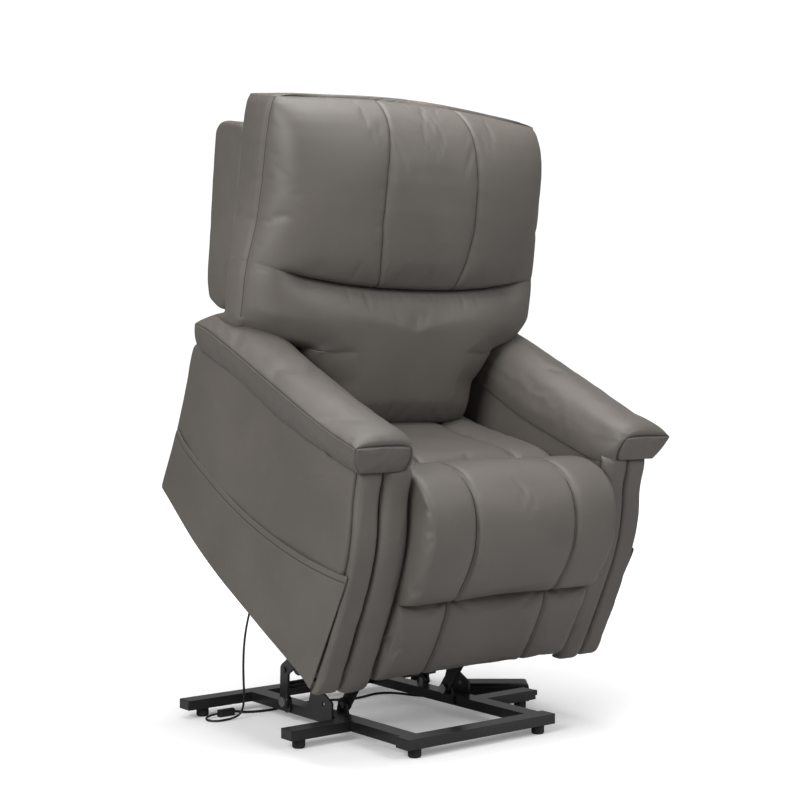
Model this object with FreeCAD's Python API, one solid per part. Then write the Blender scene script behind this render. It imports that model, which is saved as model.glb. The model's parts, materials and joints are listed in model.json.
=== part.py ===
import FreeCAD, Part
import math
import os

V = FreeCAD.Vector
os.makedirs("parts", exist_ok=True)

# A powered lift recliner chair on its steel lift base, raised and tipped forward.
# Millimetres. X to the sitter's left, Y to the rear, Z up. Left means +X.
# Most of the chair is drawn in its own seated frame: x as above, a to the rear from the arms' lower
# front corner, h up from the arms' lower edge. The raised pose then tips all of it about that corner.

# Driving dimensions: the raised pose
TILT = 28.3
CORNER_Y = 45.0
CORNER_Z = 156.0

# Driving dimensions: lift base
RAIL_X = 171.0
TUBE_W = 40.0
TUBE_H = 22.0
TUBE_WALL = 2.0
FOOT_H = 20.0
FOOT_R = 14.0
FOOT_REACH = 312.0
FRONT_END = 201.0
REAR_Y = 600.0
REAR_END = 357.0
OUTRIGGER_Y = 212.0
OUTRIGGER_END = 340.0
CAP_T = 4.0
CAP_PLUG = 12.0
CAP_FIT = 0.3

# Driving dimensions: lift linkage, in the world frame for the base, in the seated frame for the chair
REAR_PIVOT = (430.0, 46.0)
FRONT_PIVOT = (280.0, 57.0)
REAR_LINK_TOP = (188.1, 39.8)
FRONT_LINK_TOP = (123.4, 47.9)
REAR_LINK_ELBOW = 72.0
TORQUE_TUBE_RISE = 36.0
TORQUE_TUBE_R = 9.0
LINK_T = 6.0
LINK_R = 15.0
FRONT_LINK_X = 138.0
BOLT_R = 7.0
BOLT_HEAD_R = 11.0
BOLT_HEAD_T = 5.0
PLATE_T = 5.0
SIDE_GAP = 2.0
PIN_FIT = 0.05
OPEN_PIVOT_SLACK = 3.4

# Driving dimensions: side plates and cross bars of the chair's mechanism
SIDE_PLATE_X = 184.0
FRONT_BAR = (255.0, 150.0)
REAR_BAR = (560.0, 105.0)
BAR_R = 12.0

# Driving dimensions: the three drives, each from its fixed pivot to its slotted lug
# A slot gives its direction in degrees, its two ends from the pin's rest place and its side play.
LIFT_DRIVE = {"x": 0.0, "foot": (550.0, 80.0), "pin": (240.0, 110.0), "travel": -42.27}
LIFT_SLOT = (-100.78, -0.3, 9.6, 1.6)
RECLINE_DRIVE = {"x": -75.0, "foot": (290.0, 120.0), "pin": (685.0, 225.0), "travel": -75.05}
RECLINE_SLOT = (117.76, -5.1, 6.3, 1.0)
LEGREST_DRIVE = {"x": 75.0, "foot": (540.0, 150.0), "pin": (239.0, 216.0), "travel": 78.45}
LEGREST_SLOT = (128.93, -5.4, 13.7, 2.9)
DRIVE_PIN_R = 6.0
DRIVE_ROD_R = 9.0
DRIVE_TUBE_R = 15.0
GEARBOX = (20.0, 62.0, 24.0, 24.0)
MOTOR_R = 27.0
MOTOR_LONG = 80.0
EYE_R = 12.0
EYE_HALF = 11.0
LUG_T = 5.0
LUG_GAP = 1.5
LUG_R = 18.0

# Driving dimensions: arms
ARM_IN = 262.0
ARM_OUT = 391.0
CAP_OUT = 430.0
STRIP_W = 50.0
ARM_ROLL_W = 64.0
FACE_SETBACK = 24.0
CAP_SLOPE_OUT = 11.0
POCKET_T = 3.0
POCKET_RIM = 8.0
RIGHT_POCKET_GAP = 8.0
LEFT_POCKET_GAP = 27.0
LEFT_POCKET_FLOOR = 84.0

# Driving dimensions: seat, leg-rest and back
SEAT_HALF = 256.0
SEAM_X = 135.0
SEAM_HALF = 12.0
SEAM_DEPTH = 7.0
SEAT_FRONT = 176.0
BOARD_IN = 236.0
BOARD_T = 20.0
SPRING_WIRE_R = 1.9
SPRINGS = 5
SPRING_LOOPS = 8
LEGREST_BOARD_T = 18.0
LEGREST_BOARD_FRONT = 48.0
LEGREST_BOARD_HALF = 235.0
LEGREST_SHAFT = (205.0, 262.0)
LEGREST_KNEE = (205.0, 72.0)
LEGREST_PIVOT = (82.0, 255.0)
SHAFT_R = 11.0
KNEE_PIN_R = 7.0
LOWER_LINK_X = 172.0
UPPER_LINK_X = 163.0
BRACKET_X = 154.0
LEG_LINK_R = 12.0
LINK_PASSAGE = 2.5
ROLL_REAR = 172.0
RECLINE_PIVOT = (645.0, 315.0)
BACK_FOOT = (632.0, 505.0)
BACK_LEAN = 18.2
BACK_HALF = 400.0
HEAD_SEAM_X = 123.0
SHELL_HALF = 350.0
SOFT_GAP = 0.4
COVER_LINE = ((690.0, 40.0), (725.0, 325.0))
COVER_T = 3.0

# Driving dimensions: handset and cords
HANDSET_W = 46.0
HANDSET_T = 23.0
HANDSET_LONG = 168.0
BUTTON_R = 6.0
BUTTON_PROUD = 2.0
BUTTON_FIT = 0.3
THIN_LEAD_R = 2.5
LEAD_R = 3.0

SIN_TILT = math.sin(math.radians(TILT))
COS_TILT = math.cos(math.radians(TILT))
TUBE_TOP = FOOT_H + TUBE_H
RAIL_OUT = RAIL_X + TUBE_W / 2
RAIL_IN = RAIL_X - TUBE_W / 2
parts = {}


# Helpers

def raised(pair):
    """World y and z of a point given in the chair's seated frame."""
    a, h = pair
    return (CORNER_Y + a * COS_TILT - h * SIN_TILT, CORNER_Z + a * SIN_TILT + h * COS_TILT)


def raise_chair(shape):
    """Moves a shape from the seated frame to its place in the raised pose."""
    moved = shape.copy()
    moved.rotate(V(0, 0, 0), V(1, 0, 0), TILT)
    moved.translate(V(0, CORNER_Y, CORNER_Z))
    return moved


def mirrored(shape):
    return shape.mirror(V(0, 0, 0), V(1, 0, 0))


def outline(x, path):
    """Closed wire at this x. Two numbers are a corner, four numbers an arc: through and to."""
    first = V(x, *path[0])
    last = first
    edges = []
    for step in path[1:]:
        end = V(x, step[-2], step[-1])
        if len(step) == 4:
            edges.append(Part.Arc(last, V(x, step[0], step[1]), end).toShape())
        else:
            edges.append(Part.LineSegment(last, end).toShape())
        last = end
    if last.distanceToPoint(first) > 1e-6:
        edges.append(Part.LineSegment(last, first).toShape())
    return Part.Wire(edges)


def slab(path, x0, x1):
    """A flat outline given its thickness along X."""
    return Part.Face(outline(x0, path)).extrude(V(x1 - x0, 0, 0))


def block(x0, x1, y0, y1, z0, z1):
    return Part.makeBox(x1 - x0, y1 - y0, z1 - z0, V(x0, y0, z0))


def cross_pin(x0, x1, pair, radius):
    """A round bar along X."""
    return Part.makeCylinder(radius, x1 - x0, V(x0, *pair), V(1, 0, 0))


def towards(start, end, along, across=0.0):
    """The point that lies so far along and across the line from start to end."""
    dy, dz = end[0] - start[0], end[1] - start[1]
    long = math.hypot(dy, dz)
    uy, uz = dy / long, dz / long
    return (start[0] + uy * along - uz * across, start[1] + uz * along + uy * across)


def stadium(start, end, radius):
    """Outline of a bar with round ends."""
    long = math.dist(start, end)
    return [
        towards(start, end, 0, radius),
        towards(start, end, long, radius),
        towards(start, end, long + radius) + towards(start, end, long, -radius),
        towards(start, end, 0, -radius),
        towards(start, end, -radius) + towards(start, end, 0, radius),
    ]


def link_plate(points, radius, x0, x1):
    """A plate that runs through these pivots, as wide as two radii."""
    bars = [slab(stadium(p, q, radius), x0, x1) for p, q in zip(points, points[1:])]
    plate = bars[0]
    for bar in bars[1:]:
        plate = plate.fuse(bar)
    return plate.removeSplitter()


def slot_cut(pair, slot, x0, x1):
    """The cutter of a slot round a drive pin: its direction, its two ends and its side play."""
    angle, low, high, play = slot
    uy, uz = math.cos(math.radians(angle)), math.sin(math.radians(angle))
    start = (pair[0] + uy * low, pair[1] + uz * low)
    end = (pair[0] + uy * high, pair[1] + uz * high)
    return slab(stadium(start, end, DRIVE_PIN_R + play), x0, x1)


def box_tube(x0, x1, y0, y1, along):
    """A rectangular steel tube of the base, open at its ends."""
    outer = block(x0, x1, y0, y1, FOOT_H, TUBE_TOP)
    w = TUBE_WALL
    ends = (0, w) if along == "x" else (w, 0)
    inner = block(x0 + ends[0], x1 - ends[0], y0 + ends[1], y1 - ends[1], FOOT_H + w, TUBE_TOP - w)
    return outer.cut(inner)


def ruled_loft(sections):
    """A solid through closed outlines, each at its own x."""
    return Part.makeLoft([outline(x, path) for x, path in sections], True, True)


def between(table, x):
    """Straight-line value from a table of pairs, at the distance x from the middle."""
    x = abs(x)
    for (x0, v0), (x1, v1) in zip(table, table[1:]):
        if x <= x1:
            return v0 + (v1 - v0) * (x - x0) / (x1 - x0)
    return table[-1][1]


def stations(half):
    """The places across a pad, from edge to edge."""
    right = sorted(half)
    return [-x for x in reversed(right) if x > 0] + right


def rounded(shape, radius, test):
    """Rounds the edges that the test picks."""
    edges = [edge for edge in shape.Edges if test(edge)]
    return shape.makeFillet(radius, edges) if edges else shape


def keep(name, *shapes):
    solids = []
    for shape in shapes:
        solids.extend(shape.Solids)
    parts[name] = solids


# Lift base: tubes, end caps and feet

def make_base():
    half = TUBE_W / 2
    for side, sign in (("left", 1), ("right", -1)):
        x0, x1 = sorted((sign * RAIL_IN, sign * RAIL_OUT))
        keep("rail_" + side, box_tube(x0, x1, half, REAR_Y - half, "y"))
        x0, x1 = sorted((sign * RAIL_OUT, sign * OUTRIGGER_END))
        keep("outrigger_" + side, box_tube(x0, x1, OUTRIGGER_Y - half, OUTRIGGER_Y + half, "x"))
    keep("front_crossbar", box_tube(-FRONT_END, FRONT_END, -half, half, "x"))
    keep("rear_crossbar", box_tube(-REAR_END, REAR_END, REAR_Y - half, REAR_Y + half, "x"))

    caps = []
    for end, y in ((FRONT_END, 0.0), (REAR_END, REAR_Y), (OUTRIGGER_END, OUTRIGGER_Y)):
        face = block(end, end + CAP_T, y - half, y + half, FOOT_H, TUBE_TOP)
        face = rounded(face, 2.0, lambda e: abs(e.CenterOfMass.x - end - CAP_T) < 0.01)
        inset = TUBE_WALL + CAP_FIT
        plug = block(end - CAP_PLUG, end, y - half + inset, y + half - inset,
                     FOOT_H + inset, TUBE_TOP - inset)
        cap = face.fuse(plug)
        caps += [cap, mirrored(cap)]
    keep("base_end_caps", *caps)

    feet = []
    for x, y in ((RAIL_X, 0.0), (FOOT_REACH, OUTRIGGER_Y), (FOOT_REACH, REAR_Y)):
        foot = Part.makeCone(FOOT_R - 2, FOOT_R, 3, V(x, y, 0))
        foot = foot.fuse(Part.makeCylinder(FOOT_R, FOOT_H - 3, V(x, y, 3)))
        feet += [foot, mirrored(foot)]
    keep("rubber_feet", *feet)


# Lift brackets and the pivots on the base

def make_brackets():
    out0 = RAIL_OUT
    out1 = RAIL_OUT + PLATE_T
    rear_y, rear_z = REAR_PIVOT
    front_y, front_z = FRONT_PIVOT
    rear_plate = slab(stadium((rear_y, FOOT_H + LINK_R), REAR_PIVOT, LINK_R), out0, out1)
    rear_plate = rear_plate.cut(cross_pin(out0, out1, REAR_PIVOT, BOLT_R + PIN_FIT))
    low = FOOT_H + 3
    cheek = slab([(front_y - 24, low), (front_y + 68, low), (front_y + 68, TUBE_TOP),
                  (front_y + 52, 98), (front_y + 46, 106, front_y + 34, 100), (front_y - 24, 70)],
                 out0, out1)
    cheek = cheek.cut(cross_pin(out0, out1, (front_y + 8, front_z + 6), 5.0))
    inner = slab([(front_y - 26, low), (front_y + 26, low), (front_y + 16, front_z),
                  (front_y, front_z + 16, front_y - 16, front_z)], RAIL_IN - PLATE_T, RAIL_IN)
    inner = inner.cut(cross_pin(RAIL_IN - PLATE_T, RAIL_IN, FRONT_PIVOT, BOLT_R + PIN_FIT))
    keep("lift_bracket_left", rear_plate, cheek, inner)
    keep("lift_bracket_right", *[mirrored(s) for s in (rear_plate, cheek, inner)])

    link_out = out1 + SIDE_GAP + LINK_T
    rear_bolt = cross_pin(out0, link_out + 1, REAR_PIVOT, BOLT_R)
    rear_bolt = rear_bolt.fuse(cross_pin(link_out + 1, link_out + 1 + BOLT_HEAD_T, REAR_PIVOT, BOLT_HEAD_R))
    head = FRONT_LINK_X - 1 - BOLT_HEAD_T
    front_bolt = cross_pin(head + BOLT_HEAD_T, RAIL_IN, FRONT_PIVOT, BOLT_R)
    front_bolt = front_bolt.fuse(cross_pin(head, head + BOLT_HEAD_T, FRONT_PIVOT, BOLT_HEAD_R))
    bolts = [rear_bolt, front_bolt]
    keep("base_pivot_bolts", *bolts, *[mirrored(b) for b in bolts])


# Lift links and the torque tube that joins the rear pair

def make_lift_links():
    x0 = RAIL_OUT + PLATE_T + SIDE_GAP
    x1 = x0 + LINK_T
    top = raised(REAR_LINK_TOP)
    elbow = (REAR_PIVOT[0] - 2, REAR_PIVOT[1] + REAR_LINK_ELBOW)
    link = link_plate([REAR_PIVOT, elbow, top], LINK_R, x0, x1)
    for pivot in (REAR_PIVOT, top):
        link = link.cut(cross_pin(x0, x1, pivot, BOLT_R + PIN_FIT))
    elbow_nut = cross_pin(x1, x1 + 3, elbow, BOLT_R)
    link = link.fuse(elbow_nut)
    keep("rear_lift_link_left", link)
    keep("rear_lift_link_right", mirrored(link))

    tube_at = (REAR_PIVOT[0] - 2, REAR_PIVOT[1] + TORQUE_TUBE_RISE)
    tube = cross_pin(-x0, x0, tube_at, TORQUE_TUBE_R)
    keep("lift_torque_tube", tube.cut(cross_pin(-x0, x0, tube_at, TORQUE_TUBE_R - 3)))

    x0 = FRONT_LINK_X
    x1 = x0 + LINK_T
    top = raised(FRONT_LINK_TOP)
    link = link_plate([FRONT_PIVOT, top], LINK_R, x0, x1)
    link = link.fuse(cross_pin(x0, x1, top, BOLT_R + OPEN_PIVOT_SLACK + 8))
    link = link.cut(cross_pin(x0, x1, FRONT_PIVOT, BOLT_R + PIN_FIT))
    link = link.cut(cross_pin(x0, x1, top, BOLT_R + OPEN_PIVOT_SLACK))
    keep("front_lift_link_left", link)
    keep("front_lift_link_right", mirrored(link))


# Drives: a housing with gearbox, motor and tube, and a rod with its cross pin

def make_drive(drive, foot, pin):
    """Housing and rod of one drive, drawn upright on Z from its foot, then laid from foot to pin."""
    long = math.dist(foot, pin)
    near = min(long, long + drive["travel"])
    box_start, box_end, box_x, box_y = GEARBOX
    tube_end = near - 26
    eye = Part.makeCylinder(EYE_R, 2 * EYE_HALF, V(-EYE_HALF, 0, 0), V(1, 0, 0))
    neck = block(-EYE_HALF, EYE_HALF, -EYE_R + 2, EYE_R - 2, 0, box_start)
    gearbox = block(-box_x, box_x, -box_y, box_y, box_start, box_end)
    gearbox = rounded(gearbox, 5.0, lambda e: abs(e.tangentAt(e.FirstParameter).z) > 0.9)
    motor_at = (box_start + box_end) / 2
    motor = Part.makeCylinder(MOTOR_R, MOTOR_LONG, V(-box_x, 0, motor_at), V(-1, 0, 0))
    tube = Part.makeCylinder(DRIVE_TUBE_R, tube_end - box_end, V(0, 0, box_end))
    bore = Part.makeCylinder(DRIVE_ROD_R + PIN_FIT, tube_end - box_end, V(0, 0, box_end))
    foot_hole = Part.makeCylinder(DRIVE_PIN_R + PIN_FIT, 2 * EYE_HALF, V(-EYE_HALF, 0, 0), V(1, 0, 0))
    housing = eye.fuse([neck, gearbox, motor, tube.cut(bore)]).removeSplitter().cut(foot_hole)

    rod_start = box_end + 6 + max(0.0, -drive["travel"])
    rod = Part.makeCylinder(DRIVE_ROD_R, long - rod_start, V(0, 0, rod_start))
    reach = EYE_HALF + LUG_GAP + LUG_T + 2
    end_pin = Part.makeCylinder(DRIVE_PIN_R, 2 * reach, V(-reach, 0, long), V(1, 0, 0))
    end_ball = Part.makeCylinder(DRIVE_ROD_R + 2, 2 * EYE_HALF, V(-EYE_HALF, 0, long), V(1, 0, 0))
    rod = rod.fuse([end_pin, end_ball]).removeSplitter()
    lean = math.degrees(math.atan2(pin[1] - foot[1], pin[0] - foot[0])) - 90
    laid = []
    for shape in (housing, rod):
        shape.rotate(V(0, 0, 0), V(1, 0, 0), lean)
        shape.translate(V(drive["x"], *foot))
        laid.append(shape)
    return laid


def foot_lugs(drive, foot, root, radius):
    """Two lugs with a pin that hold the foot of a drive, from their root to the pivot."""
    x = drive["x"]
    inner = EYE_HALF + LUG_GAP
    lugs = []
    for sign in (1, -1):
        x0, x1 = sorted((x + sign * inner, x + sign * (inner + LUG_T)))
        lugs.append(link_plate([root, foot], radius, x0, x1))
    pin = cross_pin(x - inner - LUG_T - 3, x + inner + LUG_T + 3, foot, DRIVE_PIN_R)
    return lugs + [pin]


def slot_lugs(drive, pin, root, slot, radius=LUG_R):
    """Two slotted lugs that the rod's cross pin pushes on."""
    x = drive["x"]
    inner = EYE_HALF + LUG_GAP
    angle, low, high, play = slot
    far = (pin[0] + math.cos(math.radians(angle)) * high, pin[1] + math.sin(math.radians(angle)) * high)
    lugs = []
    for sign in (1, -1):
        x0, x1 = sorted((x + sign * inner, x + sign * (inner + LUG_T)))
        plate = link_plate([root, pin], radius, x0, x1)
        if math.dist(root, far) > math.dist(root, pin):
            plate = plate.fuse(slab(stadium(pin, far, radius), x0, x1)).removeSplitter()
        lugs.append(plate.cut(slot_cut(pin, slot, x0, x1)))
    return lugs


def make_lift_drive():
    pin = raised(LIFT_DRIVE["pin"])
    housing, rod = make_drive(LIFT_DRIVE, LIFT_DRIVE["foot"], pin)
    keep("lift_motor", housing)
    keep("lift_rod", rod)
    half = TUBE_W / 2
    foot = LIFT_DRIVE["foot"]
    plate = block(-34, 34, REAR_Y - half, REAR_Y + half, TUBE_TOP, TUBE_TOP + 4)
    lugs = foot_lugs(LIFT_DRIVE, foot, (REAR_Y - 8, TUBE_TOP + 15), EYE_R)
    bracket = plate
    for lug in lugs:
        bracket = bracket.fuse(lug)
    below = block(-60, 60, REAR_Y - half - 60, REAR_Y + half + 60, 0, TUBE_TOP)
    keep("motor_bracket", bracket.cut(below).removeSplitter())


# Side plates and cross bars of the chair's mechanism, in the seated frame

def make_mechanism():
    x0 = SIDE_PLATE_X
    x1 = x0 + PLATE_T
    path = [
        (102, 36), (112, 26), (188, 20), (270, 28), (566, 78), (606, 104), (672, 306),
        (672, 334, 645, 342), (618, 336, 618, 315), (594, 232), (556, 232), (548, 165), (500, 138),
        (292, 166), (242, 196), (230, 282), (180, 282), (180, 190), (150, 92), (102, 62),
    ]
    plate = slab(path, x0, x1)
    for pair, radius in ((LEGREST_SHAFT, SHAFT_R), (RECLINE_PIVOT, SHAFT_R),
                         (REAR_LINK_TOP, BOLT_R), (FRONT_LINK_TOP, BOLT_R)):
        plate = plate.cut(cross_pin(x0, x1, pair, radius + PIN_FIT))
    plate = raise_chair(plate)
    keep("side_plate_left", plate)
    keep("side_plate_right", mirrored(plate))

    front = cross_pin(-x0, x0, FRONT_BAR, BAR_R)
    fused = slot_lugs(LIFT_DRIVE, LIFT_DRIVE["pin"], FRONT_BAR, LIFT_SLOT)
    fused += foot_lugs(RECLINE_DRIVE, RECLINE_DRIVE["foot"], FRONT_BAR, EYE_R)
    front = front.fuse(fused).removeSplitter()
    rear = cross_pin(-x0, x0, REAR_BAR, BAR_R)
    rear = rear.fuse(foot_lugs(LEGREST_DRIVE, LEGREST_DRIVE["foot"], REAR_BAR, EYE_R)).removeSplitter()
    keep("mechanism_front_bar", raise_chair(front))
    keep("mechanism_rear_bar", raise_chair(rear))

    link_in = RAIL_OUT + PLATE_T + SIDE_GAP
    head = link_in + LINK_T + 1
    rear_bolt = cross_pin(x0, head, REAR_LINK_TOP, BOLT_R)
    rear_bolt = rear_bolt.fuse(cross_pin(head, head + BOLT_HEAD_T, REAR_LINK_TOP, BOLT_HEAD_R))
    head = FRONT_LINK_X - 1
    front_bolt = cross_pin(head, x1, FRONT_LINK_TOP, BOLT_R)
    front_head = BOLT_R + OPEN_PIVOT_SLACK + 5
    front_bolt = front_bolt.fuse(cross_pin(head - BOLT_HEAD_T, head, FRONT_LINK_TOP, front_head))
    bolts = [raise_chair(rear_bolt), raise_chair(front_bolt)]
    keep("mechanism_pivot_bolts", *bolts, *[mirrored(b) for b in bolts])


# Seat: wooden frame, sinuous springs and cushion

SEAT_BOARD_FRONT = [(178, 282), (178, 302), (198, 302), (198, 282)]
SEAT_BOARD_REAR = [(560, 232), (560, 262), (580, 262), (580, 232)]
SEAT_BOARD_SIDE = [(198, 274), (198, 302), (560, 262), (560, 232)]


def sinuous_spring(x):
    """One zigzag spring wire between the front and the rear seat board."""
    start, end = V(x, 198, 291), V(x, 560, 250)
    run = (end - start).Length
    ahead = (end - start).normalize()
    side = V(1, 0, 0)
    pitch = run / (SPRING_LOOPS + 1)
    radius = pitch / 2
    width = 14.0
    edges = [Part.LineSegment(start, start + ahead * radius).toShape()]
    at = start + ahead * radius
    sign = 1
    for loop in range(SPRING_LOOPS):
        out = at + side * (sign * width)
        tip = out + ahead * radius + side * (sign * radius)
        back = out + ahead * pitch
        home = at + ahead * pitch
        edges.append(Part.LineSegment(at, out).toShape())
        edges.append(Part.Arc(out, tip, back).toShape())
        edges.append(Part.LineSegment(back, home).toShape())
        at = home
        sign = -sign
    edges.append(Part.LineSegment(at, end).toShape())
    wire = Part.Wire(edges)
    ring = Part.Wire(Part.makeCircle(SPRING_WIRE_R, start, ahead))
    return wire.makePipeShell([ring], True, False, 2)


def seam_dip(x):
    """How far a sewn seam pulls the surface in, at this x."""
    off = abs(abs(x) - SEAM_X)
    return SEAM_DEPTH * max(0.0, 1 - off / SEAM_HALF)


PAD_STATIONS = [0, 60, SEAM_X - SEAM_HALF, SEAM_X, SEAM_X + SEAM_HALF, 200, 232, 248, SEAT_HALF]
EDGE_DROP = [(0, 0), (200, 3), (232, 8), (248, 18), (SEAT_HALF, 34)]


def make_seat():
    boards = [slab(SEAT_BOARD_FRONT, -ARM_IN, ARM_IN), slab(SEAT_BOARD_REAR, -ARM_IN, ARM_IN)]
    side = slab(SEAT_BOARD_SIDE, BOARD_IN, ARM_IN)
    boards += [side, mirrored(side)]
    keep("seat_frame", *[raise_chair(b) for b in boards])

    pitch = 2 * BOARD_IN / (SPRINGS + 0.2)
    xs = [pitch * (i - (SPRINGS - 1) / 2) for i in range(SPRINGS)]
    keep("seat_springs", *[raise_chair(sinuous_spring(x)) for x in xs])

    sections = []
    for x in stations(PAD_STATIONS):
        drop = between(EDGE_DROP, x) + seam_dip(x)
        sections.append((x, [
            (SEAT_FRONT, 304), (200, 304), (560, 265), (590, 262),
            (590, 318 - drop / 3), (520, 345 - drop, 440, 349 - drop),
            (300, 378 - drop, 190, 396 - drop), (178, 394 - drop, SEAT_FRONT, 380 - drop),
        ]))
    keep("seat_cushion", raise_chair(ruled_loft(sections)))


# Leg-rest: board, padded roll, lower panel, brackets and links

def make_legrest():
    front = LEGREST_BOARD_FRONT
    back = front + LEGREST_BOARD_T
    board = block(-LEGREST_BOARD_HALF, LEGREST_BOARD_HALF, front, back, 30, 385)
    keep("legrest_board", raise_chair(board))

    x0 = BRACKET_X
    x1 = x0 + PLATE_T
    pivot = LEGREST_PIVOT
    shape = slab([(back, pivot[1] - 48), (back, pivot[1] + 44), (back + 4, pivot[1] + 44),
                  towards(pivot, (pivot[0], pivot[1] + 1), LEG_LINK_R - 1, -4),
                  (pivot[0] + LEG_LINK_R, pivot[1], pivot[0] + 4, pivot[1] - LEG_LINK_R + 1),
                  (back + 4, pivot[1] - 48)], x0, x1)
    foot = block(x0 - 22, x0, back, back + 4, pivot[1] - 48, pivot[1] + 44)
    pin_end = UPPER_LINK_X + LINK_T + 1.5
    bracket = shape.fuse([foot, cross_pin(x0, pin_end, pivot, KNEE_PIN_R)]).removeSplitter()
    bracket = raise_chair(bracket)
    keep("legrest_brackets", bracket, mirrored(bracket))

    roll, panel = [], []
    for x in stations(PAD_STATIONS):
        drop = between(EDGE_DROP, x) * 0.8
        dip = seam_dip(x)
        soft = drop + dip
        edge = front - SOFT_GAP
        roll.append((x, [
            (edge, 214), (-10 + soft * 0.7, 212), (-30 + soft, 228, -42 + soft, 268),
            (-46 + soft, 330, -20 + soft, 385 - soft * 0.3), (10 + soft * 0.6, 432 - soft * 0.8, 70, 446 - soft),
            (135, 440 - soft, ROLL_REAR, 402 - soft * 0.6), (ROLL_REAR, 376), (75, 388), (edge, 388),
        ]))
        panel.append((x, [
            (edge, 24), (-8 + soft * 0.5, 22), (-26 + soft, 30, -30 + soft, 60),
            (-36 + soft, 125, -26 + soft, 184), (-20 + soft, 204, -6 + soft * 0.5, 208), (edge, 210),
        ]))
    # A narrow passage in the roll's rear lip lets each upper link fold up behind it
    passage = slab([(114, 366), (150, 460), (ROLL_REAR + 10, 460), (ROLL_REAR + 10, 366)],
                   UPPER_LINK_X - LINK_PASSAGE, UPPER_LINK_X + LINK_T + LINK_PASSAGE)
    keep("legrest_roll", raise_chair(ruled_loft(roll).cut(passage).cut(mirrored(passage))))
    keep("legrest_panel", raise_chair(ruled_loft(panel)))

    x0 = LOWER_LINK_X
    x1 = x0 + LINK_T
    link = link_plate([LEGREST_SHAFT, LEGREST_KNEE], LEG_LINK_R, x0, x1)
    link = link.fuse(cross_pin(x0, x1, LEGREST_SHAFT, SHAFT_R + 6))
    pin_start = UPPER_LINK_X - 1.5
    link = link.fuse(cross_pin(pin_start, x1, LEGREST_KNEE, KNEE_PIN_R))
    shaft = cross_pin(-SIDE_PLATE_X - PLATE_T, SIDE_PLATE_X + PLATE_T, LEGREST_SHAFT, SHAFT_R)
    lugs = slot_lugs(LEGREST_DRIVE, LEGREST_DRIVE["pin"], LEGREST_SHAFT, LEGREST_SLOT)
    lower = shaft.fuse([link, mirrored(link)] + lugs).removeSplitter()
    keep("legrest_lower_links", raise_chair(lower))

    x0 = UPPER_LINK_X
    x1 = x0 + LINK_T
    link = link_plate([LEGREST_KNEE, LEGREST_PIVOT], LEG_LINK_R, x0, x1)
    for pivot in (LEGREST_KNEE, LEGREST_PIVOT):
        link = link.cut(cross_pin(x0, x1, pivot, KNEE_PIN_R + PIN_FIT))
    link = raise_chair(link)
    keep("legrest_upper_links", link, mirrored(link))

    for shape, name in zip(make_drive(LEGREST_DRIVE, LEGREST_DRIVE["foot"], LEGREST_DRIVE["pin"]),
                           ("legrest_motor", "legrest_rod")):
        keep(name, raise_chair(shape))


# Arms, in the seated frame

ARM_FRONT = [(0, 262), (2, 305, 24, 345), (40, 372, 50, 395), (58, 420, 64, 451)]
ARM_UNDER = [(470, 0), (609, 19), (694, 36)]
ARM_TOP = [(735, 391.5), (530, 416), (343, 421.5)]
BAND_CROWN = [(0, 0), (0.55, 1.5), (0.8, 5), (1, 11)]


def shifted(path, setback):
    """The same outline, moved to the rear."""
    return [tuple(v if i % 2 else v + setback for i, v in enumerate(step)) for step in path]


def reverse_arcs(path):
    """The same stretch of outline, run the other way, from its last corner to its first."""
    corners = [step[-2:] for step in path]
    back = [corners[-1]]
    for i in range(len(path) - 1, 0, -1):
        back.append(path[i][:2] + corners[i - 1])
    return back


def face_band(front_at, back_at):
    """Outline of a padded band on the arm's front face, between two setbacks."""
    return [(front_at, 2)] + shifted(ARM_FRONT, front_at) + reverse_arcs(shifted(ARM_FRONT, back_at)) + [
        (back_at, 2)]


def padded_band(x0, x1, proud):
    """A band across the arm's front whose face is crowned between its two edges."""
    middle, half = (x0 + x1) / 2, (x1 - x0) / 2
    sections = []
    for step in stations([share for share, _ in BAND_CROWN]):
        crown = between(BAND_CROWN, step)
        sections.append((middle + half * step, face_band(crown - proud, FACE_SETBACK - SOFT_GAP)))
    return ruled_loft(sections)


def make_arm(side, sign):
    body = [(FACE_SETBACK, 0)] + ARM_UNDER + ARM_TOP + reverse_arcs(shifted(ARM_FRONT, FACE_SETBACK))
    shapes = {
        "arm_body": slab(body, ARM_IN, ARM_OUT),
        "arm_front_strip": padded_band(ARM_OUT - STRIP_W, ARM_OUT, 0.0),
        "arm_roll": padded_band(ARM_IN, ARM_IN + ARM_ROLL_W, 6.0),
        "arm_cap": arm_cap(),
    }
    for name, shape in shapes.items():
        placed = raise_chair(shape)
        keep(name + "_" + side, placed if sign > 0 else mirrored(placed))


CAP_STATIONS = [
    # place along the arm, band bottom, top seam, crown above the seam
    (44, 449, 504, 6), (52, 451.5, 516, 14), (75, 453, 521, 20), (92, 452, 518, 22), (180, 442, 505, 23),
    (343, 422.5, 494, 23), (530, 417, 483, 20), (640, 405, 473, 14), (690, 400, 463, 5),
]


def arm_cap():
    """Padded cap of an arm: sections across it, from the front face to the rear."""
    wires = []
    for a, low, seam, crown in CAP_STATIONS:
        out_low = ARM_OUT + CAP_SLOPE_OUT
        path = [(ARM_IN - 2, low, "line"), (out_low, low, "line"), (CAP_OUT, seam, "line")]
        points = [V(x, a, z) for x, z, _ in path]
        inner_top = V(ARM_IN + 10, a, seam - 6)
        edges = [Part.LineSegment(p, q).toShape() for p, q in zip(points, points[1:])]
        edges.append(Part.Arc(points[-1], V(350, a, seam + crown), inner_top).toShape())
        edges.append(Part.Arc(inner_top, V(ARM_IN - 10, a, (low + seam) / 2), points[0]).toShape())
        wires.append(Part.Wire(edges))
    return Part.makeLoft(wires, True, True)


# Side pockets and the handset in the left one

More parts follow.
